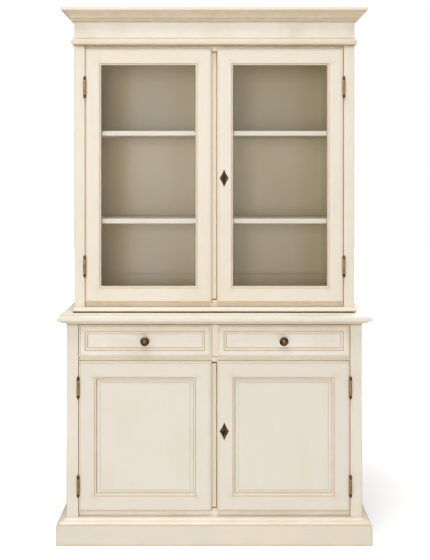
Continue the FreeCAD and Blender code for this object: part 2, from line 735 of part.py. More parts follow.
def hinge_halves():
    """Post half: lower knuckle with its tip and the pin. Door half: upper knuckle, bored for
    the pin, with its tip. Both stand on the axis, with the hinge's foot at height 0."""
    knuckle_low = hinge_finial
    knuckle_high = hinge_finial + hinge_knuckle
    pin_top = knuckle_high + hinge_knuckle * 0.7
    lower = [(0, 0)] + turned_tip(knuckle_low, -1)[::-1]
    lower += [(hinge_barrel, knuckle_high), (hinge_pin, knuckle_high),
              (hinge_pin, pin_top), (0, pin_top)]
    bore = hinge_pin + hinge_pin_play
    bore_top = pin_top + hinge_ring_gap * 4
    second_low = knuckle_high + hinge_ring_gap
    second_high = second_low + hinge_knuckle
    upper = [(bore, second_low), (hinge_barrel, second_low)] + turned_tip(second_high, 1)
    upper += [(0, second_high + hinge_finial), (0, bore_top), (bore, bore_top)]
    return turned("hinge_post_barrel", lower), turned("hinge_door_barrel", upper)


post_barrel, door_barrel = hinge_halves()


def hinge(label, inner, front, middle):
    """One left-hand hinge: the two halves, with their leaves, and the two leaves alone."""
    axis_x = -inner + side_gap / 2
    axis_y = front - hinge_axis_out
    low = middle - hinge_length / 2
    post_leaf_x = (-inner - leaf_sunk, -inner - leaf_sunk + leaf_thick)
    door_edge = -inner + side_gap
    door_leaf_x = (door_edge + leaf_sunk - leaf_thick, door_edge + leaf_sunk)
    leaf_y = (axis_y, front + leaf_depth)
    post_z = (low + hinge_finial + leaf_thick, low + hinge_finial + hinge_knuckle - leaf_thick)
    shift = hinge_knuckle + hinge_ring_gap
    door_z = (post_z[0] + shift, post_z[1] + shift)
    post_leaf = board(label + "_post_leaf", post_leaf_x, leaf_y, post_z)
    door_leaf = board(label + "_door_leaf", door_leaf_x, leaf_y, door_z)
    bore = rod(label + "_bore", hinge_pin + hinge_pin_play, hinge_knuckle * 0.7 + hinge_ring_gap * 4,
               axis_x, axis_y, low + hinge_finial + hinge_knuckle)
    post_half = fused(label + "_post_half",
                      [moved(label + "_post_barrel", post_barrel, axis_x, axis_y, low), post_leaf])
    door_half = fused(label + "_door_half_solid",
                      [moved(label + "_door_barrel", door_barrel, axis_x, axis_y, low), door_leaf])
    return {"post": post_half, "door": cut(label + "_door_half", door_half, [bore]),
            "post_leaf": post_leaf, "door_leaf": door_leaf}


# ---------------------------------------------------------------- doors
def door_blank(label, width, height, stile, rail, stick, stick_round):
    """The moulded outline of a framed door, before it is parted into stiles and rails."""
    blank = body(label)
    pad(blank, "XZ_Plane", front_thick, rectangle(0, width, 0, height))
    pocket(blank, "XZ_Plane", edge_step, rectangle(0, width, 0, height),
           rectangle(edge_width, width - edge_width, edge_width, height - edge_width))
    pocket(blank, "XZ_Plane", edge_step, rectangle(stile, width - stile, rail, height - rail))
    inner_x, inner_z = stile + stick, rail + stick
    pocket(blank, "XZ_Plane", None,
           rectangle(inner_x, width - inner_x, inner_z, height - inner_z), through=True)

    def outer_edge(p):
        return near(p.y, edge_step) and (near(p.x, 0) or near(p.x, width)
                                         or near(p.z, 0) or near(p.z, height))

    def inner_edge(p):
        at_side = near(p.x, inner_x) or near(p.x, width - inner_x)
        at_end = near(p.z, inner_z) or near(p.z, height - inner_z)
        return near(p.y, edge_step) and (at_side or at_end)

    round_edges(blank, "PartDesign::Fillet", "Radius", edge_round, outer_edge)
    round_edges(blank, "PartDesign::Fillet", "Radius", stick_round, inner_edge)
    return blank


def door_members(label, blank, width, height, stile, rail, stick):
    """Two full-height stiles and two rails between them; only their mouldings are mitred."""
    far, top = width - stile, height - rail
    low_stick, high_stick = rail + stick, top - stick
    left = [(0, 0), (stile, 0), (stile, rail), (stile + stick, low_stick),
            (stile + stick, high_stick), (stile, top), (stile, height), (0, height)]
    right = [(far, 0), (width, 0), (width, height), (far, height), (far, top),
             (far - stick, high_stick), (far - stick, low_stick), (far, rail)]
    low = [(stile, 0), (far, 0), (far, rail), (far - stick, low_stick),
           (stile + stick, low_stick), (stile, rail)]
    high = [(stile, height), (stile, top), (stile + stick, high_stick),
            (far - stick, high_stick), (far, top), (far, height)]
    members = []
    for name, outline in (("outer_stile", left), ("meeting_stile", right),
                          ("bottom_rail", low), ("top_rail", high)):
        region = body(f"{label}_{name}_region")
        pad(region, "XZ_Plane", front_thick, outline)
        member = doc.addObject("Part::Common", f"{label}_{name}")
        member.Base = blank
        member.Tool = region
        members.append(member)
    return members


def lozenge_plate(label, x, front, z):
    """A lozenge escutcheon with bevelled edges and a keyhole."""
    plate = body(label)
    wide, tall = plate_width / 2, plate_height / 2
    middle = V(wide.value, 0, tall.value)
    pad(plate, "XZ_Plane", plate_thick,
        [(wide, 0, -0.06), (plate_width, tall, -0.06), (wide, plate_height, -0.06), (0, tall, -0.06)],
        backwards=False)

    def front_edge(p):
        return near(p.y, -plate_thick) and (p - middle).Length > keyhole_radius.value

    round_edges(plate, "PartDesign::Chamfer", "Size", plate_thick * 0.6, front_edge)
    place(plate, x - wide, front, z - tall)
    return plate


def keyhole(label, x, front, z, depth):
    """The round and the slot that a key passes through."""
    top = rod(label + "_round", keyhole_radius, depth, x, front, z, V(0, 1, 0))
    slot = board(label + "_slot", (x - keyhole_radius / 2, x + keyhole_radius / 2),
                 (front, front + depth), (z - keyhole_drop, z))
    return fused(label, [top, slot])


def lock(level, front, x, z):
    """Lock case on the back of the right door, with the bolt drawn back inside it."""
    rear = front + front_thick
    low = z - lock_height / 2 - keyhole_drop / 3
    case_x = (half_meeting + lock_edge, half_meeting + lock_edge + lock_width)
    case = board(level + "_lock_box", case_x, (rear, rear + lock_thick), (low, low + lock_height))
    bolt_y = rear + strip_thick + bolt_play * 2
    bolt_z = z + lock_height / 6
    tip = case_x[0] + lock_edge / 2
    slot = board(level + "_bolt_slot", (case_x[0], tip + bolt_length + bolt_play),
                 (bolt_y - bolt_play, bolt_y + bolt_thick + bolt_play),
                 (bolt_z - bolt_play, bolt_z + bolt_width + bolt_play))
    key_depth = lock_thick * 0.6
    key = keyhole(level + "_case_keyhole", x, rear, z, key_depth)
    node(level + "_lock_case", [cut(level + "_lock_body", case, [slot, key])])
    node(level + "_lock_bolt", [board(level + "_bolt", (tip, tip + bolt_length),
                                      (bolt_y, bolt_y + bolt_thick), (bolt_z, bolt_z + bolt_width))])


def slide_bolt(level, front, rail_low):
    """A rod bolt on the back of the left door, drawn down. Pushed up, it stands behind a keeper
    that hangs from the rail."""
    rear = front + front_thick
    x = -half_meeting - strip_lap - guard_width / 2 - bolt_play
    keeper_y = (rear + stop_gap, rear + stop_gap + keeper_thick)
    y = keeper_y[1] + rod_play + rod_radius
    keeper_low = rail_low - keeper_height
    guard_top = keeper_low - rod_end_gap * 3
    guard_low = guard_top - guard_height
    guard_x = (x - guard_width / 2, x + guard_width / 2)
    plate = board(level + "_bolt_plate", guard_x, (rear, rear + guard_plate), (guard_low, guard_top))
    guards = [board(f"{level}_bolt_guide_{index}", guard_x,
                    (rear + guard_plate, y + rod_radius + guard_plate), (low, low + guard_block_height))
              for index, low in enumerate((guard_low, guard_top - guard_block_height))]
    tip = keeper_low - rod_end_gap
    bore = rod(level + "_guide_bore", rod_radius + rod_play, rod_length * 2,
               x, y, tip - rod_length * 1.5)
    node(level + "_bolt_guides",
         [cut(level + "_guides_bored", fused(level + "_guides", [plate] + guards), [bore])])
    bar = rod(level + "_bar", rod_radius, rod_length, x, y, tip - rod_length)
    grip_low = guard_low + guard_block_height * 2
    grip = rod(level + "_grip", rod_radius, rod_radius * 3, x, y, grip_low + rod_radius, V(0, 1, 0))
    node(level + "_slide_bolt", [fused(level + "_rod", [bar, grip])])
    return board(level + "_bolt_keeper", (x - guard_width, x + guard_width / 2), keeper_y,
                 (keeper_low, rail_low))


def closing_strip(level, front, low, high):
    """Strip on the back of the left door that fills the gap between the pair."""
    rear = front + front_thick
    node(level + "_left_closing_strip",
         [board(level + "_strip", (-half_meeting - strip_lap, half_meeting - strip_gap),
                (rear, rear + strip_thick), (low + strip_end_gap, high - strip_end_gap))])


def raised_panel(label, x, front, z, width, height):
    """A panel with its tongue in the frame's groove and a raised field with sloping edges."""
    panel = body(label)
    play = glazing_gap
    grip = panel_tongue - play
    pad(panel, "XZ_Plane", panel_plate, rectangle(0, width + grip * 2, 0, height + grip * 2))
    inset = grip + panel_band
    pad(panel, "XZ_Plane", panel_raise,
        rectangle(inset, width + grip * 2 - inset, inset, height + grip * 2 - inset),
        backwards=False)
    round_edges(panel, "PartDesign::Chamfer", "Size", panel_slope,
                lambda p: near(p.y, -panel_raise))
    return place(panel, x - grip, front + panel_lip, z - grip)


def glazing(label, x, front, z, width, height):
    """The pane in its rebate, and four mitred beads behind it."""
    edge = glass_rebate - glazing_gap
    pane_y = front + glass_lip
    pane = board(label + "_pane", (x - edge, x + width + edge), (pane_y, pane_y + glass_thick),
                 (z - edge, z + height + edge))
    bead_y = pane_y + glass_thick
    deep = front_thick - glass_lip - glass_thick
    grip = glass_rebate
    wide, tall = width + grip * 2, height + grip * 2
    regions = {"left": [(0, 0), (grip, grip), (grip, tall - grip), (0, tall)],
               "right": [(wide, 0), (wide, tall), (wide - grip, tall - grip), (wide - grip, grip)],
               "bottom": [(0, 0), (wide, 0), (wide - grip, grip), (grip, grip)],
               "top": [(0, tall), (grip, tall - grip), (wide - grip, tall - grip), (wide, tall)]}
    beads = []
    for name, outline in regions.items():
        bead = body(f"{label}_{name}_bead")
        pad(bead, "XZ_Plane", deep, outline)
        beads.append(place(bead, x - grip, bead_y, z - grip))
    return pane, beads


def door_pair(level, inner, front, bottom, height, stile, rail, stick, stick_round,
              hinge_heights, lock_rise, lap, glazed):
    """A pair of doors hung on the posts; the right one locks, the left one is bolted."""
    width = inner - side_gap - half_meeting
    left_edge = -inner + side_gap
    blank = door_blank(level + "_blank", width, height, stile, rail, stick, stick_round)
    members = door_members(level, blank, width, height, stile, rail, stick)
    open_x, open_z = left_edge + stile + stick, bottom + rail + stick
    open_w, open_h = width - (stile + stick) * 2, height - (rail + stick) * 2
    grip, lip, deep = ((glass_rebate, glass_lip, front_thick) if glazed
                       else (panel_tongue, panel_lip, panel_lip + panel_plate))
    groove = board(level + "_groove", (open_x - grip, open_x + open_w + grip),
                   (front + lip, front + deep), (open_z - grip, open_z + open_h + grip))
    hinges = [hinge(f"{level}_hinge_{index}", inner, front, middle)
              for index, middle in enumerate(hinge_heights)]
    leaves = [item["door_leaf"] for item in hinges]
    placed = [place(group(member.Name + "_placed", [member]), left_edge, front, bottom)
              for member in members]
    tools = [[groove] + leaves, [groove], [groove], [groove]]
    parts = [cut(member.Name + "_cut", member, tool) for member, tool in zip(placed, tools)]

    lock_x, lock_z = half_meeting + lock_inset, bottom + lock_rise
    key = keyhole(level + "_keyhole", lock_x, front, lock_z, front_thick)
    plate_key = keyhole(level + "_plate_keyhole", lock_x, front - plate_thick, lock_z, plate_thick)
    right_parts = [mirrored(part) for part in parts]
    right_parts[1] = cut(level + "_lock_stile", right_parts[1], [key])
    node(level + "_left_door_frame", parts)
    node(level + "_right_door_frame", right_parts)
    if glazed:
        pane, beads = glazing(level, open_x, front, open_z, open_w, open_h)
        node(level + "_left_door_glass", [pane])
        node(level + "_right_door_glass", [mirrored(pane)])
        node(level + "_left_glazing_beads", beads)
        node(level + "_right_glazing_beads", [mirrored(bead) for bead in beads])
    else:
        panel = raised_panel(level + "_panel", open_x, front, open_z, open_w, open_h)
        node(level + "_left_door_panel", [panel])
        node(level + "_right_door_panel", [mirrored(panel)])
    node(level + "_left_hinge_halves", [item["door"] for item in hinges])
    node(level + "_right_hinge_halves", [mirrored(item["door"]) for item in hinges])
    plate = lozenge_plate(level + "_plate", lock_x, front, lock_z)
    node(level + "_escutcheon", [cut(level + "_plate_pierced", plate, [plate_key])])
    lock(level, front, lock_x, lock_z)
    rail_low = bottom + height - lap
    closing_strip(level, front, bottom + lap, rail_low)
    return hinges, slide_bolt(level, front, rail_low)


# ---------------------------------------------------------------- drawers
def drawer_front():
    """A thick board with a moulded edge and a sunk panel with a rounded moulding round it."""
    width = base_inner - side_gap - half_divider
    height = drawer_front_height
    blank = body("drawer_front_board")
    pad(blank, "XZ_Plane", front_thick, rectangle(0, width, 0, height))
    pocket(blank, "XZ_Plane", edge_step, rectangle(0, width, 0, height),
           rectangle(edge_width, width - edge_width, edge_width, height - edge_width))
    pocket(blank, "XZ_Plane", edge_step,
           rectangle(drawer_border, width - drawer_border, drawer_border, height - drawer_border))
    inset = drawer_border + drawer_stick
    pocket(blank, "XZ_Plane", drawer_recess,
           rectangle(inset, width - inset, inset, height - inset))

    def outer_edge(p):
        return near(p.y, edge_step) and (near(p.x, 0) or near(p.x, width)
                                         or near(p.z, 0) or near(p.z, height))

    def inner_edge(p):
        at_side = near(p.x, inset) or near(p.x, width - inset)
        at_end = near(p.z, inset) or near(p.z, height - inset)
        return near(p.y, edge_step) and (at_side or at_end)

    round_edges(blank, "PartDesign::Fillet", "Radius", edge_round, outer_edge)
    round_edges(blank, "PartDesign::Fillet", "Radius", drawer_stick_round, inner_edge)
    return place(blank, half_divider, base_front, drawer_low)


def drawer_box():
    """Two sides and a back, grooved for a thin bottom."""
    x0, x1 = half_divider + lower_lap + drawer_gap, base_inner - drawer_gap
    y0 = base_front + front_thick
    y1 = y0 + drawer_box_depth
    z0 = drawer_opening_low + drawer_lift
    z1 = z0 + drawer_box_height
    bottom_low = z0 + drawer_bottom_rise
    bottom = board("drawer_bottom_board",
                   (x0 + drawer_side - drawer_groove, x1 - drawer_side + drawer_groove),
                   (y0, y1), (bottom_low, bottom_low + drawer_bottom))
    inner_side = cut("drawer_inner_side", board("drawer_inner_side_board", (x0, x0 + drawer_side),
                                                (y0, y1), (z0, z1)), [bottom])
    outer_side = cut("drawer_outer_side", board("drawer_outer_side_board", (x1 - drawer_side, x1),
                                                (y0, y1), (z0, z1)), [bottom])
    rear = board("drawer_back_board", (x0 + drawer_side, x1 - drawer_side),
                 (y1 - drawer_side, y1), (bottom_low + drawer_bottom, z1))
    return [inner_side, outer_side, rear, bottom]


def knob(x, y, z):
    """A turned knob on a round foot, held by a screw from inside the drawer."""
    r, reach = knob_radius, knob_reach
    dome = r * 0.56
    dome_rise = dome * 0.25
    rim = reach - dome_rise * 1.3
    outline = [(0, 0), (knob_foot, 0), (knob_neck, reach * 0.18), (knob_neck, reach * 0.42),
               (r, reach * 0.66), (r, reach * 0.78), (dome, rim), (dome * 0.8, reach), (0, reach)]
    handle = turned("knob_turning", outline)
    handle.Placement.Rotation = FreeCAD.Rotation(V(1, 0, 0), 90)
    place(handle, x, y, z)
    wall = front_thick - drawer_recess
    bite = knob_reach * 0.4
    hole = rod("knob_hole", screw_radius, wall + bite, x, y - bite, z, V(0, 1, 0))
    shank = rod("knob_screw_shank", screw_radius, wall + bite, x, y - bite, z, V(0, 1, 0))
    head = rod("knob_screw_head", screw_head, screw_radius, x, y + wall, z, V(0, 1, 0))
    screw = fused("knob_screw", [shank, head])
    return [cut("knob_bored", handle, [hole]), screw], hole


def drawers():
    front = drawer_front()
    x = (half_divider + base_inner - side_gap) / 2
    y = base_front + drawer_recess
    z = drawer_low + drawer_front_height / 2
    handle, hole = knob(x, y, z)
    bored = cut("drawer_front_bored", front, [hole])
    pieces = {"front": [bored], "box": drawer_box(), "knob": handle}
    for name, made in pieces.items():
        node("right_drawer_" + name, made)
        node("left_drawer_" + name, [mirrored(piece) for piece in made])


# ---------------------------------------------------------------- assembly
upper_hinges, upper_keeper = door_pair(
    "upper", hutch_inner, hutch_front, upper_door_bottom, upper_door_height, upper_stile,
    upper_rail, upper_stick, upper_stick_round,
    (upper_door_top - upper_hinge_top, upper_door_bottom + upper_hinge_bottom),
    upper_lock_rise, upper_lap, True)
lower_hinges, lower_keeper = door_pair(
    "lower", base_inner, base_front, lower_door_bottom, lower_door_height, lower_frame,
    lower_frame, lower_stick, lower_stick_round,
    (lower_door_top - lower_hinge_end, lower_door_bottom + lower_hinge_end),
    lower_lock_rise, lower_lap, False)
post_halves = [item["post"] for item in upper_hinges + lower_hinges]
node("hinge_post_halves", post_halves + [mirrored(half) for half in post_halves])

plinth()
posts = base_posts([item["post_leaf"] for item in lower_hinges])
base_rails(lower_keeper)
side, inner, rear_rail, panel_front = base_sides()
pins = base_inside(side, inner, panel_front, posts)
drawer_slides(inner, rear_rail, panel_front)
counter()
pins += hutch_carcass([item["post_leaf"] for item in upper_hinges], upper_keeper)
node("shelf_pins", pins + [mirrored(pin) for pin in pins])
frieze_and_cornice()
drawers()
doc.recompute()

# ---------------------------------------------------------------- checks and export
broken = [item.Label for item in doc.Objects if "Invalid" in item.State or "Error" in item.State]
broken += [item.Label for item in nodes if item.Shape.isNull() or not item.Shape.isValid()
           or not item.Shape.Solids]
if broken:
    raise RuntimeError("features failed: " + ", ".join(sorted(set(broken))))
os.makedirs("parts", exist_ok=True)
for item in nodes:
    item.Shape.exportStep(f"parts/{item.Label}.step")
box = Part.makeCompound([item.Shape for item in nodes]).BoundBox
print(len(nodes), "sub-parts,", f"{box.XLength:.1f} x {box.YLength:.1f} x {box.ZLength:.1f} mm")
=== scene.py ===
import math

import bmesh
import bpy
import numpy as np
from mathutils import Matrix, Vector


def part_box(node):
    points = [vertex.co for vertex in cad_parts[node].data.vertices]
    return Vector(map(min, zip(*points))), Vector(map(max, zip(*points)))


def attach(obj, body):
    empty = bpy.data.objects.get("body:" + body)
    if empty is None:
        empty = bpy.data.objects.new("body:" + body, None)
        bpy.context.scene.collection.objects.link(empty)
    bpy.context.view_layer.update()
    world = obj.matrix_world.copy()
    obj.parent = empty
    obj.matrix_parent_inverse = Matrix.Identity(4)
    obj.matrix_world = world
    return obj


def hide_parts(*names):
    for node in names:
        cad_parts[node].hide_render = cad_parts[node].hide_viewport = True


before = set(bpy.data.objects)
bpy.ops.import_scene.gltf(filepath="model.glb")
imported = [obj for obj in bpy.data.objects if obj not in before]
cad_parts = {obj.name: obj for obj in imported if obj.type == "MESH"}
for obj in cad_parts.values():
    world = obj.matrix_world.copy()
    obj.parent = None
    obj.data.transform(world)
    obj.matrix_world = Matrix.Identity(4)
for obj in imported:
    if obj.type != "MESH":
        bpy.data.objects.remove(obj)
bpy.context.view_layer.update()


# ---------------------------------------------------------------- places from the frame
LEVELS = ("upper", "lower")
BETWEEN_POSTS = {"upper": "hutch_back_frame", "lower": "base_front_rails"}


def corners(node):
    """Lowest and highest corner of a node, in millimetres."""
    low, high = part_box(node)
    return [value * 1000 for value in low], [value * 1000 for value in high]


def middle(node):
    """Middle of a node's box, in millimetres."""
    low, high = corners(node)
    return [(start + end) / 2 for start, end in zip(low, high)]


def half_size(node):
    """Half the width, depth and height of a node's box, in millimetres."""
    low, high = corners(node)
    return [(end - start) / 2 for start, end in zip(low, high)]


def foot(node):
    """Height of a node's lower edge, in millimetres."""
    return corners(node)[0][2]


def head(node):
    """Height of a node's upper edge, in millimetres."""
    return corners(node)[1][2]


def post_edge(level):
    """How far from the middle the level's posts end beside its doors, in millimetres."""
    return corners(BETWEEN_POSTS[level])[1][0]


# ---------------------------------------------------------------- shader arithmetic
class Wire:
    """A shader socket that takes part in arithmetic; each operator adds one Math node."""

    def __init__(self, palette, socket):
        self.palette, self.socket = palette, socket

    def math(self, operation, *values):
        """The result of one Math node on the values."""
        return self.palette.node("ShaderNodeMath", {"operation": operation}, dict(enumerate(values)))

    def __add__(self, other):
        return self.math("ADD", self, other)

    def __sub__(self, other):
        return self.math("SUBTRACT", self, other)

    def __rsub__(self, other):
        return self.math("SUBTRACT", other, self)

    def __neg__(self):
        return self.math("SUBTRACT", 0.0, self)

    def __mul__(self, other):
        return self.math("MULTIPLY", self, other)

    def __truediv__(self, other):
        return self.math("DIVIDE", self, other)

    def __pow__(self, other):
        return self.math("POWER", self, other)

    def __abs__(self):
        return self.math("ABSOLUTE", self)

    def lesser(self, other):
        return self.math("MINIMUM", self, other)

    def greater(self, other):
        return self.math("MAXIMUM", self, other)

    def clamped(self):
        """The value kept from 0 to 1."""
        return self.palette.node("ShaderNodeClamp", {}, {"Value": self})

    __radd__, __rmul__ = __add__, __mul__


class Palette:
    """A node tree being filled."""

    def __init__(self, tree):
        self.tree = tree
        self.tree.nodes.clear()

    def node(self, kind, settings=None, inputs=None, output=0):
        """Adds a node of the kind, with its settings first and then the values or links of its
        sockets, and returns one of its outputs."""
        made = self.tree.nodes.new(kind)
        for key, value in (settings or {}).items():
            setattr(made, key, value)
        for key, value in (inputs or {}).items():
            if isinstance(value, Wire):
                self.tree.links.new(value.socket, made.inputs[key])
            else:
                made.inputs[key].default_value = value
        return Wire(self, made.outputs[output])

    def mix(self, share, first, second):
        """A colour that goes from the first to the second as share goes from 0 to 1. In a Mix
        node, sockets 6 and 7 are the two colours and output 2 is the mixed one."""
        return self.node("ShaderNodeMix", {"data_type": "RGBA"}, {0: share, 6: first, 7: second}, output=2)

    def rise(self, value, low, high):
        """0 below low, 1 above high, and a smooth step between."""
        return self.node("ShaderNodeMapRange", {"interpolation_type": "SMOOTHSTEP"},
                         {"Value": value, "From Min": low, "From Max": high})

    def between(self, value, low, high, blur=0.3):
        """1 from low to high and 0 elsewhere, with the blur to either side of both ends."""
        return self.rise(value - low, -blur, blur) * self.rise(high - value, -blur, blur)

    def output(self, kind, shader):
        """Ends the tree in an output node of the kind."""
        end = self.tree.nodes.new(kind)
        self.tree.links.new(shader.socket, end.inputs["Surface"])


class Finish(Palette):
    """A material being mixed. Lengths x, y, z are the object's own, in millimetres."""

    def __init__(self, name):
        self.material = bpy.data.materials.new(name)
        self.material.use_nodes = True
        super().__init__(self.material.node_tree)
        self.place = self.node("ShaderNodeTexCoord", output="Object")
        self.x, self.y, self.z = (
            self.node("ShaderNodeSeparateXYZ", {}, {0: self.place}, output=axis) * 1000 for axis in range(3))

    def noise(self, stretch, detail=3.0, rough=0.55):
        """Noise from 0 to 1 with stretch cells to the metre along x, y and z."""
        where = self.node("ShaderNodeVectorMath", {"operation": "MULTIPLY"}, {0: self.place, 1: stretch})
        return self.node("ShaderNodeTexNoise", {},
                         {"Vector": where, "Scale": 1.0, "Detail": detail, "Roughness": rough})

    def surface(self, colour, roughness, height, depth, constants, round_off=0.0008):
        """The finished material: colour, roughness and a bump of the given depth, in metres,
        over arrises that look rounded by round_off."""
        eased = self.node("ShaderNodeBevel", {"samples": 4}, {"Radius": round_off})
        bump = self.node("ShaderNodeBump", {},
                         {"Strength": 1.0, "Distance": depth, "Height": height, "Normal": eased})
        links = {"Base Color": colour, "Roughness": roughness, "Normal": bump}
        return self.done(self.node("ShaderNodeBsdfPrincipled", {}, {**constants, **links}))

    def done(self, shader):
        """The material, with the shader as its surface."""
        self.output("ShaderNodeOutputMaterial", shader)
        return self.material


def shade(red, green, blue):
    """A screen colour from 0 to 255 as the linear colour that the shader wants."""
    def linear(level):
        level /= 255
        return level / 12.92 if level <= 0.04045 else ((level + 0.055) / 1.055) ** 2.4
    return linear(red), linear(green), linear(blue), 1.0


def line(distance, width):
    """1 where the distance is nought, falling evenly to 0 at the width on either side."""
    return (1 - abs(distance) / width).clamped()


def soft(distance, width):
    """1 at and below nought, falling as a squared slope to 0 at the width above it."""
    return (1 - distance / width).clamped() ** 2.0


def most(first, *others):
    """The strongest of the masks."""
    for mask in others:
        first = first.greater(mask)
    return first


# ---------------------------------------------------------------- painted wood
CREAM = shade(236, 227, 211)
CREAM_WARM = shade(233, 222, 202)
GLAZE = shade(196, 161, 106)
UMBER = shade(134, 96, 52)
# Near black for painted shade in the narrow gaps and keyholes.
GAP_SHADE = shade(58, 48, 34)
# Lighter cream used as painted light: on tops, recessed strips, drawers, the divider, the frieze and shelf
# edges.
LIT_CREAM = shade(250, 242, 228)
# Greige of the inside, darker than the cream partly as painted shade of the closed interior.
TAUPE = shade(219, 208, 183)
# Olive as painted shade inside the hutch: the right inner side, the inner rail faces and the back.
OLIVE_SHADE = shade(203, 185, 132)
# Moss olive as painted shade on the back and in the clouds of the right inner side.
MOSS_SHADE = shade(199, 179, 126)
# Sand as painted light on the left inner side.
SAND_LIGHT = shade(228, 209, 160)
# Warm light cream as painted light on the side faces in the gaps beside the doors.
GAP_LIGHT = shade(252, 232, 194)
# Half-lit cream as painted light, between the cream and the lighter cream, on the bead, the plinth cap and
# shelf edges.
HALF_LIT_CREAM = shade(244, 236, 221)
# Darker cream as painted shade on the plinth and the closing strips.
SHADED_CREAM = shade(227, 219, 204)
# A darker, cooler copy of the cream and its warm partner, as painted shade on the lower doors.
LOWER_SHADED_CREAM = shade(232, 225, 211)
LOWER_SHADED_WARM = shade(230, 221, 204)
BACKING = shade(210, 198, 174)
BACKING_WARM = shade(202, 188, 160)

# How the brush was drawn: noise cells to the metre, few of them along the strokes.
UPRIGHT = (170.0, 170.0, 6.0)
ACROSS = (6.0, 170.0, 170.0)
ENDWAYS = (170.0, 6.0, 170.0)

# Heights, in millimetres, between which painted shade darkens the two narrow gaps of the front.
DRAWER_GAP = (head("right_drawer_front") - 0.2, foot("counter_moulding") + 0.2)
HUTCH_GAP = (head("counter_top") - 1.0, foot("hutch_base_moulding") + 0.2)

# Half width and half height that take in a keyhole, and how far their middle is under its round.
KEY_HALF_WIDTH, KEY_HALF_HEIGHT, KEY_DROP = 3.6, 7.8, 4.0

SIDE_RAIL = 70.0            # width of the rails above and below a side panel
SHELF_LIP = 2.0             # how far back the pale front edge of a shelf reaches
SHOWN_MIDDLE = 300.0        # how far out lies the middle of what a window shows of the back
SHADE_REACH = 150.0           # how far from there the painted shade on the back comes to the full
HEAD_REACH = 260.0          # how far down the painted shade fades under the top of the hutch's back
SHADOW_REACH = 5.0           # how far painted shadow reaches out before the foot that stands on the counter
KNOB_RUBBED = 4.5           # depth of the knobs' front that fingers rub
STRIP_ENDS = (958, 1972, 132, 713)      # heights of the tan lines at the closing strips' ends


def brushed(f, brush):
    """Brush lines that run along the member: long thin noise."""
    return f.noise(brush, detail=4.0, rough=0.6)


def painted(f, glaze, dirt, streaks, ground=CREAM, warm=CREAM_WARM, wash=0.0, soot=None):
    """Eggshell paint under a wiped glaze. The ground varies in slow clouds and brush lines, the
    glaze stays where its mask says, broken by noise, dirt lies deepest in the creases, and painted
    shade darkens the narrow gaps and keyholes where little light reaches."""
    clouds = f.noise((5, 5, 5))
    patches = f.noise((30, 30, 30))
    fine = f.noise((600, 600, 600), detail=2.0)
    colour = f.mix(f.rise(clouds, 0.3, 0.8), ground, warm)
    colour = f.mix((f.rise(streaks, 0.45, 0.8) * 0.07 + wash).clamped(), colour, GLAZE)
    broken = (patches * 1.1 + 0.35).clamped()
    colour = f.mix((glaze * broken).clamped(), colour, GLAZE)
    colour = f.mix((dirt * (patches * 0.8 + 0.5)).clamped(), colour, UMBER)
    # painted shade: the narrow gaps and keyholes are darkened in the colour
    if soot:
        colour = f.mix(soot.clamped(), colour, GAP_SHADE)
    roughness = (0.46 + streaks * 0.1 + glaze * 0.12).clamped()
    height = streaks * 0.5 + fine * 0.25 - dirt * 0.5
    return f.surface(colour, roughness, height, 0.00025, {"Specular IOR Level": 0.35})


def edge_distance(f, node):
    """How far a point lies inside the outline of the node or of its twin on the left, measured
    sideways and upright."""
    middle_x, _, middle_z = middle(node)
    half_x, _, half_z = half_size(node)
    return half_x - abs(abs(f.x) - middle_x), half_z - abs(f.z - middle_z)


def lit_sides(f, node, stile, rail):
    """1 at the right and the foot of each front's opening, where the light falls on the
    sticking, and 0 at its left and its head, which lie in shade and take more glaze as painted shade."""
    middle_x, _, middle_z = middle(node)
    half_x, _, half_z = half_size(node)
    to_right = (abs(f.x) - middle_x) * (f.rise(f.x, -1.0, 1.0) * 2 - 1) - (half_x - stile)
    downwards = middle_z - f.z - (half_z - rail)
    return most(f.rise(to_right, -14.0, -10.0), f.rise(downwards, -14.0, -10.0))


def key_place(level):
    """Where the round of the keyhole of the level's right door is, in x and z."""
    middle_x, _, middle_z = middle(level + "_escutcheon")
    return middle_x, middle_z


def key_bore(f, level):
    """1 on what lines the keyhole of the level's right door, seen from the front."""
    middle_x, round_z = key_place(level)
    middle_z = round_z - KEY_DROP
    return (f.between(f.x, middle_x - KEY_HALF_WIDTH, middle_x + KEY_HALF_WIDTH)
            * f.between(f.z, middle_z - KEY_HALF_HEIGHT, middle_z + KEY_HALF_HEIGHT))


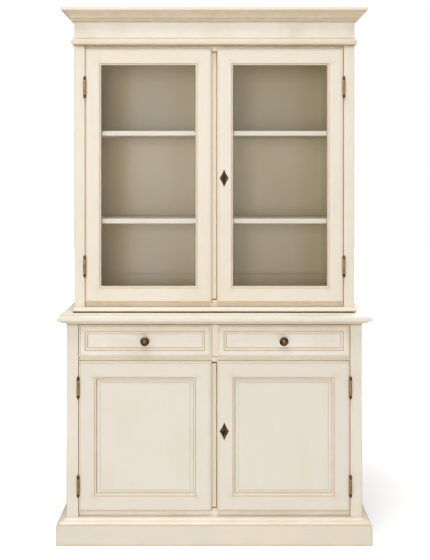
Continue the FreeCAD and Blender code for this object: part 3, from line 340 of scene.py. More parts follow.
def door_paint(name, level, stile, rail, stick, panel_lines=(), ground=CREAM, warm=CREAM_WARM):
    """Paint of the level's doors: tan glaze along the moulded edge and round the sticking, stronger
    on the shaded left and head sides as painted shade, dark creases at the sticking's foot, lines
    inside it that are given as (distance, width, strength), painted light on the side faces in
    the gaps, and painted shade in the keyhole under its plate. stile and rail are the widths up
    to the sticking, and stick is the sticking's own."""
    f = Finish(name)
    door = level + "_right_door_frame"
    across, upright = edge_distance(f, door)
    opening = (across - stile).lesser(upright - rail)
    # painted shade: the glaze is stronger on the shaded left and head sides of the sticking
    shaded_side = 1 - lit_sides(f, door, stile, rail) * 0.5
    low_edge = f.rise(middle(door)[2] - f.z, -1.0, 1.0) * 0.5 + 0.7
    moulded, first_step = 7.0, 1.6
    glaze = most(line(across - moulded, 2.0) * 0.5, line(upright - moulded, 2.4) * low_edge,
                 line(upright - 2.5, 2.2) * (low_edge - 0.5),
                 line(opening - first_step, 2.4) * 1.25, line(opening - stick, 2.4) * shaded_side * 0.9)
    for distance, width, strength in panel_lines:
        glaze = glaze.greater(line(opening - stick - distance, width) * strength)
    corner = soft(abs(across - stile) + abs(upright - rail), 40) * f.rise(-opening, 0, 4) * 0.22
    joint = line(across - stile, 0.8) * f.rise(rail - upright, 0.0, 0.5) * 0.25
    glaze = most(glaze, corner, joint)
    dirt = line(opening - stick, 1.6) * shaded_side * 0.5
    on_rails = f.rise(rail - upright, -0.5, 0.5) * f.rise(across - stile, -0.5, 0.5)
    streaks = brushed(f, UPRIGHT) * (1 - on_rails) + brushed(f, ACROSS) * on_rails
    # painted light: the door's side faces in the gaps are lightened
    ground = f.mix(line(across, 1.2), ground, GAP_LIGHT)
    plate_back = corners(level + "_escutcheon")[1][1]
    # painted shade: the wood behind the keyhole is darkened
    soot = key_bore(f, level) * f.rise(f.y - plate_back - 0.4, -0.2, 0.2)
    return painted(f, glaze, dirt, streaks, ground, warm, soot=soot)


def drawer_paint(name, border, stick):
    """Paint of a drawer front with a sunk panel, in the lighter cream as painted light: glaze lines
    along the edge and the sunk moulding, stronger at the top as painted shade under the counter
    and stronger on the shaded sides, and a smudge where fingers reach over the knob."""
    f = Finish(name)
    front = "right_drawer_front"
    across, upright = edge_distance(f, front)
    edge = across.lesser(upright)
    opening = edge - border
    # painted shade: the glaze is stronger on the shaded left and head sides
    shaded_side = 1 - lit_sides(f, front, border, border) * 0.4
    knob_x, _, middle_z = middle(front)
    over_knob = head(front) - border - stick - 3
    moulded, first_step = 6.8, 1.8
    smudge = soft(abs(abs(f.x) - knob_x) * 0.8 + abs(f.z - over_knob) * 3, 42) * 0.4
    # painted shade: the top of the front, under the counter, takes more glaze
    over = f.rise(f.z - middle_z, 20.0, 45.0)
    border_wash = f.rise(edge, 2.0, 9.0) * f.rise(-opening, -1.0, 1.0) * (over * 0.2 + 0.08)
    glaze = most(line(edge - moulded, 2.6) * (over * 0.5 + 0.8), line(opening - first_step, 2.8) * 1.3,
                 smudge, border_wash, line(opening - stick, 2.6) * shaded_side * 0.7)
    dirt = line(opening - stick, 1.6) * shaded_side * 0.5
    # painted light: the front is in the lighter cream
    return painted(f, glaze, dirt, brushed(f, ACROSS), LIT_CREAM, CREAM)


def post_paint(name, posts, level, top, bottom):
    """Paint of the corner posts: worn tan along the outer arris, a little glaze and painted light on
    the faces beside the doors, a soft painted shadow under the moulding at top, soft tan over the
    one at bottom, and painted shade in the gap under the hutch."""
    f = Finish(name)
    low, high = corners(posts)
    out, behind = high[0] - abs(f.x), f.y - low[1]
    arris = line(out, 2.6) * line(behind, 2.6)
    beside = line(abs(f.x) - post_edge(level), 1.6) * line(behind, 30)
    # painted shadow: soft tan under the moulding at top
    cap = soft(top - f.z, 16) * f.rise(top - f.z, -0.5, 0.0) * 0.55
    heel = soft(f.z - bottom, 10) * f.rise(f.z - bottom, -0.5, 0.0) * 0.5
    glaze = most(arris, beside * 0.35, cap, heel)
    # painted light: the posts' faces beside the doors are lightened
    ground = f.mix(beside, CREAM, GAP_LIGHT)
    # painted shade in the gap under the hutch's foot moulding
    soot = f.between(f.z, *HUTCH_GAP)
    return painted(f, glaze, cap * 0.4, brushed(f, UPRIGHT), ground, soot=soot)


def crease_paint(name, start, creases, washes=(), brush=ACROSS, wash=0.0, worn=None, sooty=None,
                 top=None, stands=None, ground=CREAM):
    """Paint of mouldings and boards. Heights count from start: each crease is (height, width,
    glaze, dirt) and each wash (from height, to height, strength) of thinner tan. The outer front
    corners of the node worn are rubbed, and painted shade darkens everything under the height
    sooty. Over the height top the paint is lighter as painted light, with painted shadow
    under and just before the node that stands there."""
    f = Finish(name)
    up = f.z - start
    glaze = most(*[line(up - height, width) * tan for height, width, tan, _ in creases],
                 *[f.between(up, low, high, 1.0) * strength for low, high, strength in washes])
    dirt = most(*[line(up - height, width * 0.7) * dark for height, width, _, dark in creases])
    # painted shade: everything under the given height is darkened
    soot = f.rise(sooty - up, -0.3, 0.3) if sooty else None
    if worn:
        low, high = corners(worn)
        glaze = glaze.greater(line(abs(f.x) - high[0], 6) * line(f.y - low[1], 6) * 0.6)
    # painted light on the top face, and painted shadow under and just before the node standing on it
    if top:
        topside = f.rise(up - top, -0.5, 0.5)
        low, high = corners(stands)
        soot = (topside * f.rise(high[0] - 1 - abs(f.x), -1, 1)
                * f.rise(f.y - low[1] + SHADOW_REACH, -1, 1))
        # painted light: the top face takes the lighter cream
        ground = f.mix(topside, ground, LIT_CREAM)
    return painted(f, glaze, dirt, brushed(f, brush), ground, wash=wash, soot=soot)


def level_paint(name, node, creases, **finish):
    """Crease paint of a node, with its heights counted from the node's foot."""
    return crease_paint(name, foot(node), creases, **finish)


def side_paint(name, panels, floor_board):
    """Framed side: cream outside with glaze round its panel; the inner face, as far out as the
    floor board reaches, takes olive painted shade on the right and lighter sand painted light on the left."""
    f = Finish(name)
    low, high = corners(panels)
    edges = (f.z - low[2] - SIDE_RAIL).lesser(high[2] - SIDE_RAIL - f.z)
    edges = edges.lesser(f.y - low[1]).lesser(high[1] - f.y)
    inside = f.rise(corners(floor_board)[1][0] + 1.0 - abs(f.x), -0.4, 0.4)
    left = f.rise(-f.x, -1.0, 1.0)
    # painted shade and light: olive on the right inner face, lighter sand on the left
    ground = f.mix(inside, CREAM, f.mix(left, OLIVE_SHADE, SAND_LIGHT))
    warm = f.mix(inside, CREAM_WARM, f.mix(left, MOSS_SHADE, SAND_LIGHT))
    glaze, dirt = line(edges, 2.5) * 0.7 * (1 - inside), line(edges, 1.4) * 0.6 * (1 - inside)
    return painted(f, glaze, dirt, brushed(f, UPRIGHT), ground, warm)


def rail_paint(name, rails, strips, floor_board, gap):
    """Rails behind and between the fronts: tan on the strips that show, each given by its low
    and high edge and the strength of the tan below, above and between, the tan above partly
    painted shade under the front that overhangs it; the strips in lighter cream as painted light;
    taupe and olive painted shade on the inner faces over the floor board; and painted shade
    between the two heights of the gap."""
    f = Finish(name)
    shown = [f.rise(f.z, low - 2, low + 1) * f.rise(high - f.z, -2, 1) * all_over
             for low, high, _, _, all_over in strips]
    # partly painted shade: the line at the top of each strip, under the front above it
    edges = [most(line(f.z - low, 2.0) * below, line(f.z - high + 1, 4.0) * above)
             for low, high, below, above, _ in strips]
    floor_low, floor_high = corners(floor_board)
    inside = (f.rise(f.y - floor_low[1] + 1, 0.0, 1.0)
              * f.rise(floor_high[0] + 1 - abs(f.x), -0.4, 0.4))
    recess = f.rise(f.y - corners(rails)[0][1], 1.0, 8.0)
    glaze = most(*shown, *edges) * (1 - inside)
    dirt = most(*[mask * 0.3 for mask in edges]) * (1 - inside) * recess
    # painted light on the recessed strips, painted shade on the inner faces
    ground, warm = f.mix(inside, LIT_CREAM, TAUPE), f.mix(inside, CREAM, OLIVE_SHADE)
    # painted shade in the narrow gap
    soot = f.between(f.z, *gap)
    return painted(f, glaze, dirt, brushed(f, ACROSS), ground, warm, soot=soot)


def board_paint(name):
    """Greige paint of the boards inside, partly painted shade, brushed from front to back."""
    f = Finish(name)
    streaks = brushed(f, ENDWAYS)
    return painted(f, streaks * 0.1, streaks * 0.04, streaks, TAUPE, BACKING_WARM)


def shelf_paint(name, shelf):
    """Greige paint of a shelf, partly painted shade, with a front edge in lighter cream as painted light."""
    f = Finish(name)
    streaks = brushed(f, ACROSS)
    # painted light: the shelf's front edge
    lip = f.rise(corners(shelf)[0][1] + SHELF_LIP - f.y, -0.5, 0.5)
    ground, warm = f.mix(lip, TAUPE, LIT_CREAM), f.mix(lip, BACKING_WARM, HALF_LIT_CREAM)
    return painted(f, streaks * 0.1 * (1 - lip), streaks * 0.04, streaks, ground, warm)


def back_paint(name, panel, window_shade):
    """Greige paint, partly painted shade, on the inside of a back and plain paint outside its middle
    plane. A window-shaded one takes olive painted shade towards the sides and the top of what each
    window shows, more so on the left, and dirt lies along the head and foot of its panel."""
    f = Finish(name)
    streaks = brushed(f, UPRIGHT)
    ground, warm, dirt = TAUPE, BACKING_WARM, streaks * 0.04
    # painted shade: olive darkening towards the edges and top of what each window shows
    if window_shade:
        top, bottom = head(panel) - 1, foot(panel) + 1
        off = abs(f.x) - SHOWN_MIDDLE
        left = f.rise(-f.x, -1.0, 1.0)
        outer = f.rise(off, SHADE_REACH * 0.2, SHADE_REACH * 0.9) * (left * 0.55 + 0.4)
        inner = f.rise(-off, SHADE_REACH * 0.4, SHADE_REACH) * left * 0.35
        shade_share = (most(outer, inner) + f.rise(f.z, top - HEAD_REACH, top) * 0.45).clamped()
        ground, warm = f.mix(shade_share, TAUPE, MOSS_SHADE), f.mix((shade_share * 0.8 + 0.2).clamped(), TAUPE, MOSS_SHADE)
        dirt = most(dirt, line(f.z - bottom, 2.2) * 0.7, line(f.z - top, 2.2) * 0.7)
    behind = f.rise(f.y - middle(panel)[1], -1.0, 1.0)
    ground, warm = f.mix(behind, ground, BACKING), f.mix(behind, warm, BACKING_WARM)
    return painted(f, streaks * 0.1, dirt, streaks, ground, warm)


def bare_wood(name, along):
    """Pale drawer wood: long grain lines with darker pores and slow bands of tone."""
    f = Finish(name)
    grain = f.noise(along, detail=5.0, rough=0.65)
    bands = f.noise(tuple(rate * 0.22 for rate in along), detail=2.0)
    pores = f.rise(f.noise(tuple(rate * 4 for rate in along), detail=2.0), 0.62, 0.75)
    colour = f.mix(bands, shade(214, 180, 132), shade(190, 150, 100))
    colour = f.mix(f.rise(grain, 0.4, 0.75) * 0.55, colour, shade(158, 116, 70))
    colour = f.mix(pores * 0.4, colour, shade(110, 76, 44))
    return f.surface(colour, 0.55 + grain * 0.2, grain - pores * 0.6, 0.0003, {"Specular IOR Level": 0.3})


# ---------------------------------------------------------------- glass and metal
# Hinges, in metres: radius of the barrel, height of a knuckle and of a turned tip, radius of
# the pin, and the gap between the knuckles.
BARREL, KNUCKLE, TIP, PIN = 0.006, 0.025, 0.022, 0.0025
GAP = 0.0004
AXIS_OUT, AXIS_IN = 0.0065, 0.00075     # the axis before the doors' face and in from the posts' edge
ROUND_OFF = 0.0004                      # how far arrises of small brass look rounded


def hinge_middles(level):
    """Heights, in metres, at which the two halves of the level's lower and upper hinge meet."""
    halves = level + "_right_hinge_halves"
    return foot(halves) / 1000 - GAP / 2, head(halves) / 1000 - GAP / 2 - KNUCKLE - TIP


def window_glass(name):
    """Clear panes: nearly all light goes through, with a faint dusty film that varies."""
    f = Finish(name)
    dust = f.noise((4, 4, 4))
    wipes = f.noise((6, 6, 60), detail=2.0)
    film = (0.045 + dust * 0.03 + wipes * 0.01).clamped()
    return f.done(f.node("ShaderNodeBsdfPrincipled", {}, {
        "Base Color": f.mix(dust, shade(120, 128, 122), shade(150, 152, 142)),
        "Roughness": 0.04 + dust * 0.05, "Alpha": film, "Specular IOR Level": 0.5}))


def hinge_brass(name):
    """Brass of the hinges: gold barrels with brown streaks, dark tips and rubbed rings, placed
    by how many millimetres they lie off the hinge's middle."""
    f = Finish(name)
    first, *others = [abs(f.z - height * 1000) for level in LEVELS for height in hinge_middles(level)]
    off = first
    for distance in others:
        off = off.lesser(distance)
    patina = f.noise((260, 260, 40), detail=4.0)
    tips = f.rise(off, 28.0, 30.0)
    rings = line(off - 26.6, 2.6)
    dark = most(tips * 0.9, line(off - 24.4, 0.8), line(off - 29.6, 1.2), line(off, 0.7))
    colour = f.mix(f.rise(patina, 0.42, 0.7), shade(160, 130, 88), shade(96, 72, 42))
    colour = f.mix((dark * (0.6 + patina * 0.6)).clamped(), colour, shade(60, 40, 22))
    colour = f.mix(rings * 0.8, colour, shade(206, 176, 128))
    return f.surface(colour, 0.36 + patina * 0.2, patina, 0.0001, {"Metallic": 0.85}, ROUND_OFF)


def old_brass(name, dark, gold, worn, rubbed_y=None, keyholes=()):
    """Brass gone brown: gold shows through in patches, more where worn is high, and where
    fingers rub what stands in front of rubbed_y. Painted shade darkens the plate round the levels' keyholes."""
    f = Finish(name)
    patina = f.noise((90, 90, 90), detail=4.0)
    pits = f.noise((900, 900, 900), detail=2.0)
    share = f.rise(patina, 0.5 - worn * 0.3, 0.85 - worn * 0.3) * (0.3 + worn)
    if rubbed_y is not None:
        share = share + f.rise(rubbed_y - f.y, -1.0, 3.0) * (patina * 0.6 + 0.25)
    share = share.clamped()
    colour = f.mix(share, dark, gold)
    colour = f.mix(f.rise(pits, 0.55, 0.8) * 0.5, colour, shade(30, 20, 12))
    for level in keyholes:
        middle_x, round_z = key_place(level)
        # painted shade round the keyhole
        near = 1 - (abs(f.x - middle_x) / 8).greater(abs(f.z - round_z + KEY_DROP) / 14)
        colour = f.mix((near * 1.5).clamped() * 0.85, colour, shade(22, 15, 9))
    roughness = (0.52 - share * 0.2 + pits * 0.12).clamped()
    return f.surface(colour, roughness, pits, 0.0001, {"Metallic": 0.85}, ROUND_OFF)


def dull_steel(name):
    """Dull steel with long smears, and painted shade inside the keyholes of the lock cases."""
    f = Finish(name)
    smear = f.noise((12, 12, 300))
    colour = f.mix(smear, shade(138, 133, 124), shade(98, 92, 84))
    for level in LEVELS:
        low, high = corners(level + "_lock_case")
        bore_end = low[1] + (high[1] - low[1]) * 0.62
        # painted shade inside the keyhole
        black = key_bore(f, level) * f.rise(bore_end - f.y, -0.1, 0.1)
        colour = f.mix(black, colour, shade(14, 12, 10))
    return f.surface(colour, 0.38 + smear * 0.25, smear, 0.0001, {"Metallic": 0.9})


# ---------------------------------------------------------------- what wears which finish
def give(material, *nodes):
    """Puts the finish on CAD nodes."""
    for name in nodes:
        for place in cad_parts[name].material_slots:
            place.material = material


# The lower doors in the darker copy of the cream as painted shade.
give(door_paint("lower_door_paint", "lower", 62, 62, 10, [(13, 1.6, 0.12)], LOWER_SHADED_CREAM, LOWER_SHADED_WARM),
     "lower_left_door_frame", "lower_right_door_frame", "lower_left_door_panel", "lower_right_door_panel")
give(door_paint("upper_door_paint", "upper", 57.5, 61, 8.5),
     "upper_left_door_frame", "upper_right_door_frame",
     "upper_left_glazing_beads", "upper_right_glazing_beads")
give(drawer_paint("drawer_paint", 25.5, 10.5), "left_drawer_front", "right_drawer_front")
give(post_paint("base_post_paint", "base_corner_posts", "lower",
                foot("counter_moulding"), head("plinth_cap_moulding")), "base_corner_posts")
give(post_paint("hutch_post_paint", "hutch_corner_posts", "upper",
                foot("frieze_bead_moulding"), head("hutch_base_moulding")), "hutch_corner_posts")
# The washes on the lower, downward-facing cove and ovolo are partly glaze and partly painted shade.
give(level_paint("cornice_paint", "cornice_moulding",
                 [(3.5, 3.2, 0.9, 0.3), (13.5, 2.0, 0.9, 0.3), (42, 1.6, 0.7, 0.3)],
                 washes=[(-1, 14, 0.48), (14, 24, 0.36), (24, 31, 0.5), (31, 39, 0.55)],
                 worn="cornice_moulding"), "cornice_moulding")
# The frieze in the lighter cream as painted light, with a painted shadow line under the cornice.
give(level_paint("frieze_paint", "frieze_boards", [(31.5, 3.0, 0.6, 0.2), (95, 4.0, 0.5, 0.0)], ground=LIT_CREAM),
     "frieze_boards")
# The bead in the half-lit cream as painted light; its strong lowest wash is painted shade on its underside.
give(level_paint("bead_paint", "frieze_bead_moulding",
                 [(1.5, 3.0, 0.8, 0.5), (4, 2.0, 0.8, 0.5), (13, 1.6, 0.4, 0.1), (18, 1.8, 0.5, 0.1),
                  (30, 2.4, 0.6, 0.2)],
                 washes=[(-1, 5, 1.1), (5, 11, 0.15), (11, 31, 0.1)],
                 worn="frieze_bead_moulding", ground=HALF_LIT_CREAM), "frieze_bead_moulding")
# painted shade under the foot of the hutch's base moulding
give(level_paint("hutch_base_moulding_paint", "hutch_base_moulding",
                 [(0.5, 1.2, 0.7, 0.4), (17.5, 1.0, 0.4, 0.1)],
                 worn="hutch_base_moulding", sooty=1.6), "hutch_base_moulding")
# painted light on the counter's top, painted shadow at the hutch's foot
give(level_paint("counter_paint", "counter_top", [(0.5, 1.6, 0.6, 0.25)],
                 worn="counter_top", top=19, stands="hutch_base_moulding"), "counter_top")
# painted shade: the dark lowest crease and everything under the moulding's foot, over the drawers
give(level_paint("counter_moulding_paint", "counter_moulding",
                 [(0.3, 3.0, 0.9, 1.0), (7, 1.6, 0.4, 0.0), (14.5, 1.6, 0.6, 0.3)],
                 washes=[(-1, 15, 0.25)], sooty=0.3), "counter_moulding")
# The plinth cap in the half-lit cream as painted light.
give(level_paint("plinth_cap_paint", "plinth_cap_moulding",
                 [(0.8, 1.4, 0.2, 0.1), (11, 1.6, 0.1, 0.0), (18.5, 1.2, 0.2, 0.1)],
                 worn="plinth_cap_moulding", ground=HALF_LIT_CREAM), "plinth_cap_moulding")
# The plinth in the darker cream as painted shade.
give(level_paint("plinth_paint", "plinth_boards", [(79.5, 2.0, 0.25, 0.05), (1.0, 9.0, 0.4, 0.15)],
                 wash=0.03, worn="plinth_boards", ground=SHADED_CREAM), "plinth_boards")
give(rail_paint("base_rail_paint", "base_front_rails",
                [(head("plinth_cap_moulding"), foot("lower_right_door_frame"), 0.1, 0.3, 0.02),
                 (head("lower_right_door_frame"), foot("right_drawer_front") - 1.5, 0.05, 0.9, 0.02)],
                "base_floor", DRAWER_GAP), "base_front_rails")
give(rail_paint("hutch_rail_paint", "hutch_rails",
                [(head("hutch_base_moulding"), foot("upper_right_door_frame"), 0.35, 0.5, 0.22),
                 (head("upper_right_door_frame"), foot("frieze_boards"), 0.3, 0.6, 0.12)],
                "hutch_floor", HUTCH_GAP), "hutch_rails")
# The divider in the lighter cream as painted light.
give(level_paint("divider_paint", "drawer_divider", [(-6, 3.0, 0.3, 0.0), (124, 4.0, 0.5, 0.2)],
                 brush=UPRIGHT, ground=LIT_CREAM), "drawer_divider")
# The closing strips in the darker cream as painted shade.
give(crease_paint("closing_strip_paint", 0.0, [(end, 6.0, 0.6, 0.3) for end in STRIP_ENDS],
                  brush=UPRIGHT, ground=SHADED_CREAM), "upper_left_closing_strip", "lower_left_closing_strip")
give(side_paint("base_side_paint", "base_side_panels", "base_floor"), "base_side_panels")
give(side_paint("hutch_side_paint", "hutch_side_panels", "hutch_floor"), "hutch_side_panels")
give(level_paint("base_back_rail_paint", "base_frame_rails", [(62, 2.0, 0.3, 0.1), (762, 2.0, 0.3, 0.1)],
                 wash=0.12), "base_frame_rails")
give(back_paint("hutch_back_paint", "hutch_back_panel", window_shade=True), "hutch_back_frame", "hutch_back_panel")
give(back_paint("cupboard_back_paint", "base_back_panel", window_shade=False), "base_back_panel")
give(board_paint("floor_board_paint"), "hutch_floor", "hutch_top_board", "base_floor")
give(shelf_paint("hutch_shelf_paint", "lower_shelf"), "upper_shelf", "lower_shelf")
give(shelf_paint("cupboard_shelf_paint", "cupboard_shelf"), "cupboard_shelf")
give(bare_wood("drawer_box_wood", (70, 3, 70)), "left_drawer_box", "right_drawer_box", "drawer_runners")
give(window_glass("door_glass"), "upper_left_door_glass", "upper_right_door_glass")
give(old_brass("bolt_brass", shade(84, 62, 38), shade(196, 158, 100), 0.45),
     "upper_bolt_guides", "lower_bolt_guides", "upper_slide_bolt", "lower_slide_bolt")
give(old_brass("escutcheon_brass", shade(62, 44, 25), shade(136, 102, 58), 0.3, keyholes=LEVELS),
     "upper_escutcheon", "lower_escutcheon")
give(dull_steel("lock_steel"), "upper_lock_case", "lower_lock_case", "upper_lock_bolt",
     "lower_lock_bolt", "shelf_pins")
turned_brass = hinge_brass("hinge_brass")
knob_brass = old_brass("knob_brass", shade(58, 42, 26), shade(150, 112, 66), 0.25,
                       rubbed_y=corners("right_drawer_knob")[0][1] + KNOB_RUBBED)


# ---------------------------------------------------------------- turned metal
def turned(outline, centre, axis, around=48):
    """Surface of revolution: the outline's point (radius r, height h) goes to the centre plus
    r times the unit circle at angle t plus h times the axis, for t all the way round."""
    outline = np.asarray(outline, float)
    axis = np.asarray(axis, float)
    first = np.array([1.0, 0.0, 0.0])
    second = np.cross(axis, first)
    angle = np.linspace(0, 2 * math.pi, around, endpoint=False)
    circle = np.cos(angle)[:, None] * first + np.sin(angle)[:, None] * second
    points = (np.asarray(centre, float) + outline[:, 0][:, None, None] * circle[None]
              + outline[:, 1][:, None, None] * axis).reshape(-1, 3)
    row, column = np.meshgrid(np.arange(len(outline) - 1), np.arange(around), indexing="ij")
    beside = (column + 1) % around
    faces = np.stack([row * around + column, row * around + beside,
                      (row + 1) * around + beside, (row + 1) * around + column], -1).reshape(-1, 4)
    return points, faces


def leaf(low, high):
    """A thin hinge leaf: the eight corners and six faces between two opposite corners."""
    corner = np.stack(np.meshgrid([0, 1], [0, 1], [0, 1], indexing="ij"), -1).reshape(-1, 3)
    points = np.asarray(low) + corner * (np.asarray(high) - np.asarray(low))
    faces = np.array([[0, 1, 3, 2], [4, 6, 7, 5], [0, 4, 5, 1], [2, 3, 7, 6], [0, 2, 6, 4], [1, 5, 7, 3]])
    return points, faces


def arc(centre, radius, start, end, steps=8):
    """Points of an outline on an arc, at centre plus radius times (cos, sin) of the angle."""
    angle = np.radians(np.linspace(start, end, steps))
    return np.stack([centre[0] + radius * np.cos(angle), centre[1] + radius * np.sin(angle)], -1)


def piece(name, parts, material, body, slot, *nodes):
    """One object from several closed surfaces: doubles merged, faces turned outwards, smooth
    apart from arrises. It rides on its body and stands for its CAD nodes."""
    count, points, faces = 0, [], []
    for part_points, part_faces in parts:
        points.append(part_points)
        faces.extend((part_faces + count).tolist())
        count += len(part_points)
    mesh = bpy.data.meshes.new(name)
    mesh.from_pydata(np.concatenate(points).tolist(), [], faces)
    shape = bmesh.new()
    shape.from_mesh(mesh)
    bmesh.ops.remove_doubles(shape, verts=shape.verts, dist=1e-6)
    bmesh.ops.dissolve_degenerate(shape, edges=shape.edges, dist=1e-7)
    bmesh.ops.recalc_face_normals(shape, faces=shape.faces)
    shape.to_mesh(mesh)
    shape.free()
    mesh.polygons.foreach_set("use_smooth", np.ones(len(mesh.polygons), bool))
    mesh.set_sharp_from_angle(angle=math.radians(40))
    mesh.materials.append(material)
    made = bpy.data.objects.new(name, mesh)
    bpy.context.scene.collection.objects.link(made)
    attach(made, body)
    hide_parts(*nodes)


def hinge_tip():
    """Outline of a turned tip from its knuckle outwards: a ring, a groove, a collar, a bullet
    whose radius falls as the square root of one less a power of the height, and a point."""
    bead = 0.0013
    ring = arc((BARREL * 0.8, bead), bead, -90, 90)
    collar = arc((BARREL * 0.78, 0.0048), bead, -90, 90)
    share = np.linspace(0, 1, 14)
    radius = BARREL * (0.12 + 0.88 * np.sqrt(1 - share ** 2.2))
    bullet = np.stack([radius, 0.0066 + share * (TIP - 0.0085)], -1)
    point = arc((0.0, TIP - 0.0012), 0.0011, 0, 90, 6)
    return np.concatenate([ring, collar, bullet, point])


def hinge_parts(side, edge, front, height):
    """The two halves of one lift-off hinge, whose knuckles meet at the height. side is -1 on the
    left and 1 on the right, edge is the posts' edge and front the doors' face."""
    axis_y = front - AXIS_OUT
    low = height - TIP - KNUCKLE - GAP / 2
    axis, start = (0, 0, 1), (side * (edge - AXIS_IN), axis_y, low)
    tip = hinge_tip()
    pin_top = TIP + KNUCKLE * 1.7
    post = np.concatenate([tip[::-1] * [1, -1] + [0, TIP],
                           [(BARREL, TIP), (BARREL, TIP + KNUCKLE), (PIN, TIP + KNUCKLE),
                            (PIN, pin_top), (0, pin_top)]])
    door_low = TIP + KNUCKLE + GAP
    bore, bore_top = PIN + 0.00008, pin_top + 0.0008
    door = np.concatenate([[(0, bore_top), (bore, bore_top), (bore, door_low),
                            (BARREL, door_low), (BARREL, door_low + KNUCKLE)],
                           tip + [0, door_low + KNUCKLE]])
    post_x = sorted((side * (edge + 0.001), side * (edge - 0.0005)))
    door_x = sorted((side * (edge - 0.001), side * (edge - 0.0025)))
    inset, shift, leaf_back = 0.0015, KNUCKLE + GAP, front + 0.017
    leaf_low, leaf_high = low + TIP + inset, low + TIP + KNUCKLE - inset
    post_leaf = leaf((post_x[0], axis_y, leaf_low), (post_x[1], leaf_back, leaf_high))
    door_leaf = leaf((door_x[0], axis_y, leaf_low + shift), (door_x[1], leaf_back, leaf_high + shift))
    return [turned(post, start, axis), post_leaf], [turned(door, start, axis), door_leaf]


def knob_outline():
    """Turned knob from its foot outwards: a stepped foot, a waisted neck whose radius follows a
    squared cosine and a fading cube, a flare that widens as a sine, a rolled rim, and a shallow
    dish with a button that is a quarter of an ellipse."""
    base = [(0, 0), (0.009, 0)]
    base_edge = arc((0.0078, 0.0013), 0.0013, -90, 90, 7)
    share = np.linspace(0, 1, 16)
    waist = 0.0061 + 0.0019 * np.cos(math.pi * share * 1.2 + 2.7) ** 2 + 0.0012 * (1 - share) ** 3
    neck = np.stack([waist, 0.003 + share * 0.0095], -1)
    turn = share * math.pi / 2
    flare = np.stack([0.0075 + 0.0092 * np.sin(turn), 0.0128 + share ** 1.6 * 0.0075], -1)
    rim = arc((0.0147, 0.0222), 0.0028, -30, 100, 10)
    dish = [(0.0118, 0.0240), (0.0112, 0.0236)]
    button = np.stack([0.0098 * np.cos(turn), 0.0242 + 0.0056 * np.sin(turn)], -1)
    return np.concatenate([base, base_edge, neck, flare, rim, dish, button])


def screw_outline():
    """Knob screw from its head outwards: a thin head and a shank that ends inside the knob."""
    return [(0, 0), (0.0045, 0), (0.0045, 0.0014), (0.002, 0.002), (0.002, 0.0139), (0, 0.0139)]


post_halves = []
for level in LEVELS:
    for side, hand in ((-1, "left"), (1, "right")):
        door_halves = []
        for height in hinge_middles(level):
            front = corners(level + "_right_door_frame")[0][1] / 1000
            post_half, door_half = hinge_parts(side, post_edge(level) / 1000, front, height)
            post_halves += post_half
            door_halves += door_half
        piece(f"{level}_{hand}_turned_hinges", door_halves, turned_brass, f"{level}_{hand}_door", "brass",
              f"{level}_{hand}_hinge_halves")
piece("turned_post_hinges", post_halves, turned_brass, "carcass", "brass", "hinge_post_halves")

FIELD_SUNK = 0.008          # how deep the field where the knobs stand lies in the drawers' fronts
for hand in ("left", "right"):
    field_y = corners(f"{hand}_drawer_front")[0][1] / 1000 + FIELD_SUNK
    low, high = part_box(f"{hand}_drawer_knob")
    knob_x, knob_z = (low[0] + high[0]) / 2, (low[2] + high[2]) / 2
    piece(f"{hand}_turned_knob",
          [turned(knob_outline(), (knob_x, field_y, knob_z), (0, -1, 0), 64),
           turned(screw_outline(), (knob_x, high[1], knob_z), (0, -1, 0), 32)],
          knob_brass, f"{hand}_drawer", "brass", f"{hand}_drawer_knob")


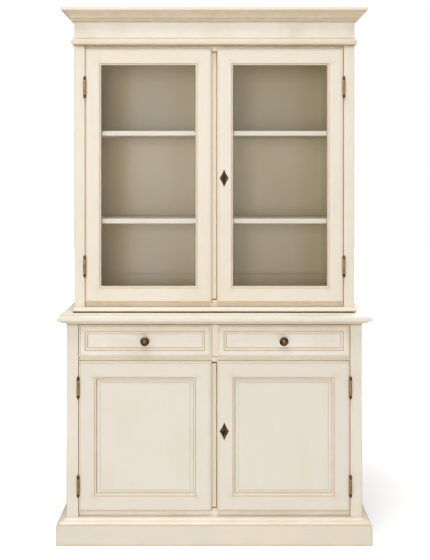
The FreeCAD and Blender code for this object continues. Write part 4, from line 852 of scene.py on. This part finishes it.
# ---------------------------------------------------------------- floor, light and camera
def floor():
    """A wide pale floor; what looks at it straight sees it a little lighter, shadow kept."""
    mesh = bpy.data.meshes.new("studio_floor")
    span = 14.0
    mesh.from_pydata([(-span, -span, 0), (span, -span, 0), (span, span, 0), (-span, span, 0)], [],
                     [(0, 1, 2, 3)])
    ground = bpy.data.objects.new("studio_floor", mesh)
    bpy.context.scene.collection.objects.link(ground)
    f = Finish("pale_floor")
    seen = f.node("ShaderNodeLightPath", output="Is Camera Ray")
    away = (f.x * f.x + f.y * f.y) ** 0.5
    near, far = 700, 2600
    glow = seen * (f.rise(away, near, far) * 0.64 + 0.36)
    mesh.materials.append(f.done(f.node("ShaderNodeBsdfPrincipled", {}, {
        "Base Color": f.mix(f.noise((2, 2, 2)), (0.86, 0.86, 0.86, 1), (0.88, 0.88, 0.88, 1)),
        "Roughness": 0.9, "Specular IOR Level": 0.1,
        "Emission Color": f.mix(glow, (0, 0, 0, 1), (1, 1, 1, 1)), "Emission Strength": 1.1})))


def sky(brightness):
    """White behind everything that looks straight, in a mirror or through glass; soft light of
    the given brightness for the rest."""
    world = bpy.data.worlds.new("studio")
    bpy.context.scene.world = world
    world.use_nodes = True
    f = Palette(world.node_tree)
    seen = most(*[f.node("ShaderNodeLightPath", output=ray)
                  for ray in ("Is Camera Ray", "Is Glossy Ray", "Is Transmission Ray")])
    colour = f.mix(seen, (brightness, brightness, brightness, 1), (1, 1, 1, 1))
    f.output("ShaderNodeOutputWorld", f.node("ShaderNodeBackground", {}, {"Color": colour, "Strength": 1.0}))


def lamp(name, place, target, size, power):
    """A soft square lamp at a place, turned towards a target."""
    light = bpy.data.lights.new(name, "AREA")
    light.shape, light.size, light.energy = "SQUARE", size, power
    made = bpy.data.objects.new(name, light)
    bpy.context.scene.collection.objects.link(made)
    made.location = place
    aim = np.subtract(target, place)
    tilt = math.atan2(math.hypot(aim[0], aim[1]), -aim[2])
    made.rotation_euler = (tilt, 0, math.atan2(aim[1], aim[0]) - math.pi / 2)


def camera():
    """Level camera at about the height of the upper doors' middle, with the film shifted down."""
    lens = bpy.data.cameras.new("front_camera")
    lens.lens = 56.89
    lens.sensor_width = 36
    lens.shift_x, lens.shift_y = 0.00125, -0.1875
    made = bpy.data.objects.new("front_camera", lens)
    bpy.context.scene.collection.objects.link(made)
    made.location = (0, -3.735, 1.468)
    made.rotation_euler = (math.radians(90), 0, 0)
    bpy.context.scene.camera = made


floor()
sky(0.30)
lamp("front_lamp", (-1.0, -6.8, 1.5), (0, -0.1, 1.1), 2.6, 162)
lamp("overhead_lamp", (-0.4, -1.7, 6.2), (0, -0.1, 1.0), 2.4, 180)
lamp("rear_lamp", (1.4, 6.5, 2.2), (0, 0.2, 1.1), 2.6, 110)
camera()
bpy.context.scene.view_settings.view_transform = "Standard"
